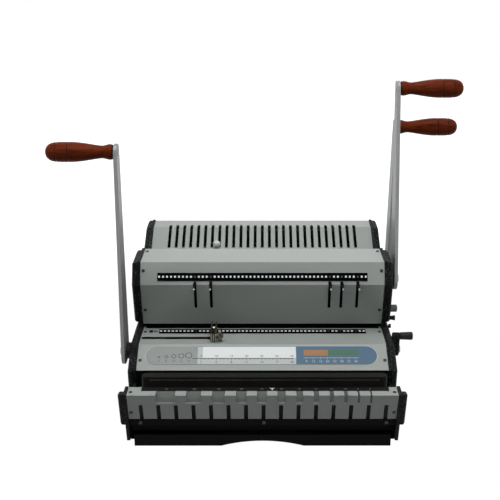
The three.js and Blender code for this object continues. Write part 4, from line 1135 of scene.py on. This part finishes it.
for i, (facet, share, x) in enumerate(screw["onPanels"]):
    for side in (-1, 1):
        putScrew(*onFacet(facet, share, side * x), 20.0 + 37.0 * i + 15.0 * side)
for i, x in enumerate(screw["onCrossbar"]):
    putScrew(at(x, *screw["crossbarFace"]), toFront, 30.0 * i)
for i, (y, z) in enumerate(screw["onCovers"]):
    for side in (-1, 1):
        putScrew(at(side * screw["coverFace"], y, z), (0.0, 90.0 * side, 0.0), 25.0 * i)
for i, (x, z) in enumerate(screw["onBack"]):
    putScrew(at(x, screw["backFace"], z), toBack, 40.0 * i)

dropPiece(screwMaster)
print("screws ready:", len(screws))


strips = dict(
    # print: facet, distance up the facet, lift of its face, mark width and height
    upper_pin_marks=("housingBand", 13.2, 1.12, 2.8, 3.2),
    lower_pin_marks=("deck", 51.53, 1.12, 3.5, 4.7),
)
markHeight = 0.12

for name, (facet, distance, lift, wide, tall) in strips.items():
    marks = []
    for ink, pulled in (("dotLight", False), ("dotDark", True)):
        master = outlinePiece("mark_master", middleRectangle(wide, tall), markHeight)
        paintPiece(master, ink)
        for pin in range(1, pins["count"] + 1):
            if (pin in pins["pulled"]) == pulled:
                mark = copyPiece(master, "mark")
                settle(mark, *onFacet(facet, shareOf(facet, distance), pinX(pin), lift))
                marks.append(mark)
        dropPiece(master)
    finishPiece(joinPieces(marks, name), "frame", None, "white_plastic")

print("pin marks ready")


label = dict(
    facet="labelSlope", distance=28.77, lift=1.1, offset=-1.5, length=362.0, width=36.0, inkHeight=0.06,
    inkLift=0.02, layerLift=0.07, textDepth=0.04, textLift=0.06, textSize=5.6, rimWider=1.3,
    rimHeight=0.24, rimLift=0.02,
)
labelParts = []


def layInk(part, ink, x=0.0, y=0.0, layer=0, lift=label["inkLift"]):
    paintPiece(part, ink)
    settle(part, Vector((x, y, lift + label["layerLift"] * layer)) * mm)
    labelParts.append(part)


def printBar(x0, x1, y0, y1, ink, layer=0):
    layInk(outlinePiece("label_bar", rectangle(x0, x1, y0, y1), label["inkHeight"]), ink, layer=layer)


def makeText(body, size):
    deselectAll()
    bpy.ops.object.text_add()
    text = bpy.context.object.data
    text.body = body
    text.size = size * mm
    text.extrude = label["textDepth"] * mm
    text.align_x = "CENTER"
    text.align_y = "CENTER"
    bpy.ops.object.convert(target="MESH")
    return bpy.context.object


def printText(number, x, y, size, ink, layer=0):
    layInk(makeText(str(number), size), ink, x, y, layer, label["textLift"])


def endArc(x, radius, start, steps):
    # Half a circle round a place on the middle line
    return [onCircle(radius, start + math.pi * i / steps, x) for i in range(steps + 1)]


# Pale left end, and a white middle
printBar(-92.0, 54.0, -5.2, 17.6, "inkWhite")
printBar(-100.0, -92.0, -5.2, 17.6, "inkPale")
printBar(-100.0, 54.0, -17.6, -5.2, "inkPale")
printBar(-100.0, 54.0, 16.9, 17.9, "inkBlue", 1)

# Blue right end with two colour bands over a row of numbers
blue = dict(
    start=54.0, end=180.6, half=17.6, marks=8, x=70.0, step=11.0, markHalf=0.35, mark=(-8.0, -5.2),
    numbers=-12.2,
)
blueEnd = endArc(blue["end"] - blue["half"], blue["half"], -0.5 * math.pi, 14)
blueOutline = [(blue["start"], blue["half"]), (blue["start"], -blue["half"])] + blueEnd
layInk(outlinePiece("label_blue", blueOutline, label["inkHeight"]), "inkBlue")
printBar(66.0, 104.0, -1.0, 10.6, "inkOrange", 1)
printBar(104.0, 152.0, -1.0, 10.6, "inkGreen", 1)
printBar(66.0, 152.0, -5.6, -4.9, "inkPale", 1)
for i in range(blue["marks"]):
    x = blue["x"] + blue["step"] * i
    printBar(x - blue["markHalf"], x + blue["markHalf"], *blue["mark"], "inkPale", 1)
    printText(8 + 4 * i, x, blue["numbers"], label["textSize"], "inkPale", 1)

# Rings of growing size, each with its number
rings = dict(count=5, x=-160.0, step=11.5, foot=-6.0, radius=2.0, growth=0.9, line=0.95, numbers=-11.0)
for i in range(rings["count"]):
    x, radius = rings["x"] + rings["step"] * i, rings["radius"] + rings["growth"] * i
    ring = rectangle(radius - rings["line"], radius, 0.0, label["inkHeight"])
    layInk(turnedPiece("label_ring", ring + ring[:1], steps=28), "inkGrey", x, rings["foot"] + radius)
    printText(6 + 2 * i, x, rings["numbers"], label["textSize"], "inkRed")

# A rule with numbers over and under it
rule = dict(
    bar=(-108.0, 50.0, -7.2, -6.0), marks=25, x=-94.0, step=5.9, markHalf=0.3, shortMark=1.7,
    longMark=3.2, numbered=4, under=-13.6, over=-1.6, textSize=5.2,
)
printBar(*rule["bar"], "inkBlack", 1)
foot = rule["bar"][2]
for i in range(rule["marks"]):
    x, number, between = rule["x"] + rule["step"] * i, i // rule["numbered"], i % rule["numbered"]
    end = foot - rule["shortMark" if between else "longMark"]
    printBar(x - rule["markHalf"], x + rule["markHalf"], end, foot, "inkGrey", 1)
    if not between:
        printText(2 + 3 * number, x, rule["under"], rule["textSize"], "inkGrey", 1)
        printText(5 + 5 * number, x, rule["over"], rule["textSize"], "inkGrey", 1)


def layOnSlope(piece, lift, look):
    share = shareOf(label["facet"], label["distance"])
    settle(piece, *onFacet(label["facet"], share, label["offset"], lift))
    finishPiece(piece, "frame", look, "label_film")


layOnSlope(joinPieces(labelParts, "label_print"), label["lift"], None)

# A pale rim under the edge of the label
rimReach = 0.5 * (label["length"] - label["width"])
rimRadius = 0.5 * label["width"] + label["rimWider"]
rimOutline = endArc(rimReach, rimRadius, -0.5 * math.pi, 12)
rimOutline += endArc(-rimReach, rimRadius, 0.5 * math.pi, 12)
layOnSlope(outlinePiece("label_rim", rimOutline, label["rimHeight"]), label["rimLift"], "inkPale")
print("label printed")


gauge = dict(
    # Number and its share of half the panel
    numbers={
        32: -0.716, 28: -0.508, 25: -0.325, 22: -0.157, 20: -0.005, 18: 0.14, 16: 0.273, 14: 0.396,
        12: 0.51, 10: 0.614, 8: 0.708, 6: 0.8,
    },
    halfPanel=195.5, depth=23.4, height=92.76, size=4.6,
    pointer=[
        (-3.6, 3.2), (-3.6, 1.8), (-0.7, 1.8), (-0.7, -3.4), (0.7, -3.4), (0.7, 1.8), (3.6, 1.8),
        (3.6, 3.2),
    ],
    pointerX=14.0, pointerSink=0.04, pointerHeight=0.08,
)
gaugeParts = []
for number, share in gauge["numbers"].items():
    text = makeText(str(number), gauge["size"])
    paintPiece(text, "inkDim")
    settle(text, at(share * gauge["halfPanel"], gauge["depth"], gauge["height"]))
    gaugeParts.append(text)
pointer = outlinePiece("gauge_pointer", gauge["pointer"], gauge["pointerHeight"])
paintPiece(pointer, "dotLight")
settle(pointer, at(gauge["pointerX"], gauge["depth"], gauge["height"] - gauge["pointerSink"]))
finishPiece(joinPieces(gaugeParts + [pointer], "gauge_print"), "frame", None, "white_plastic")
print("gauge numbered")
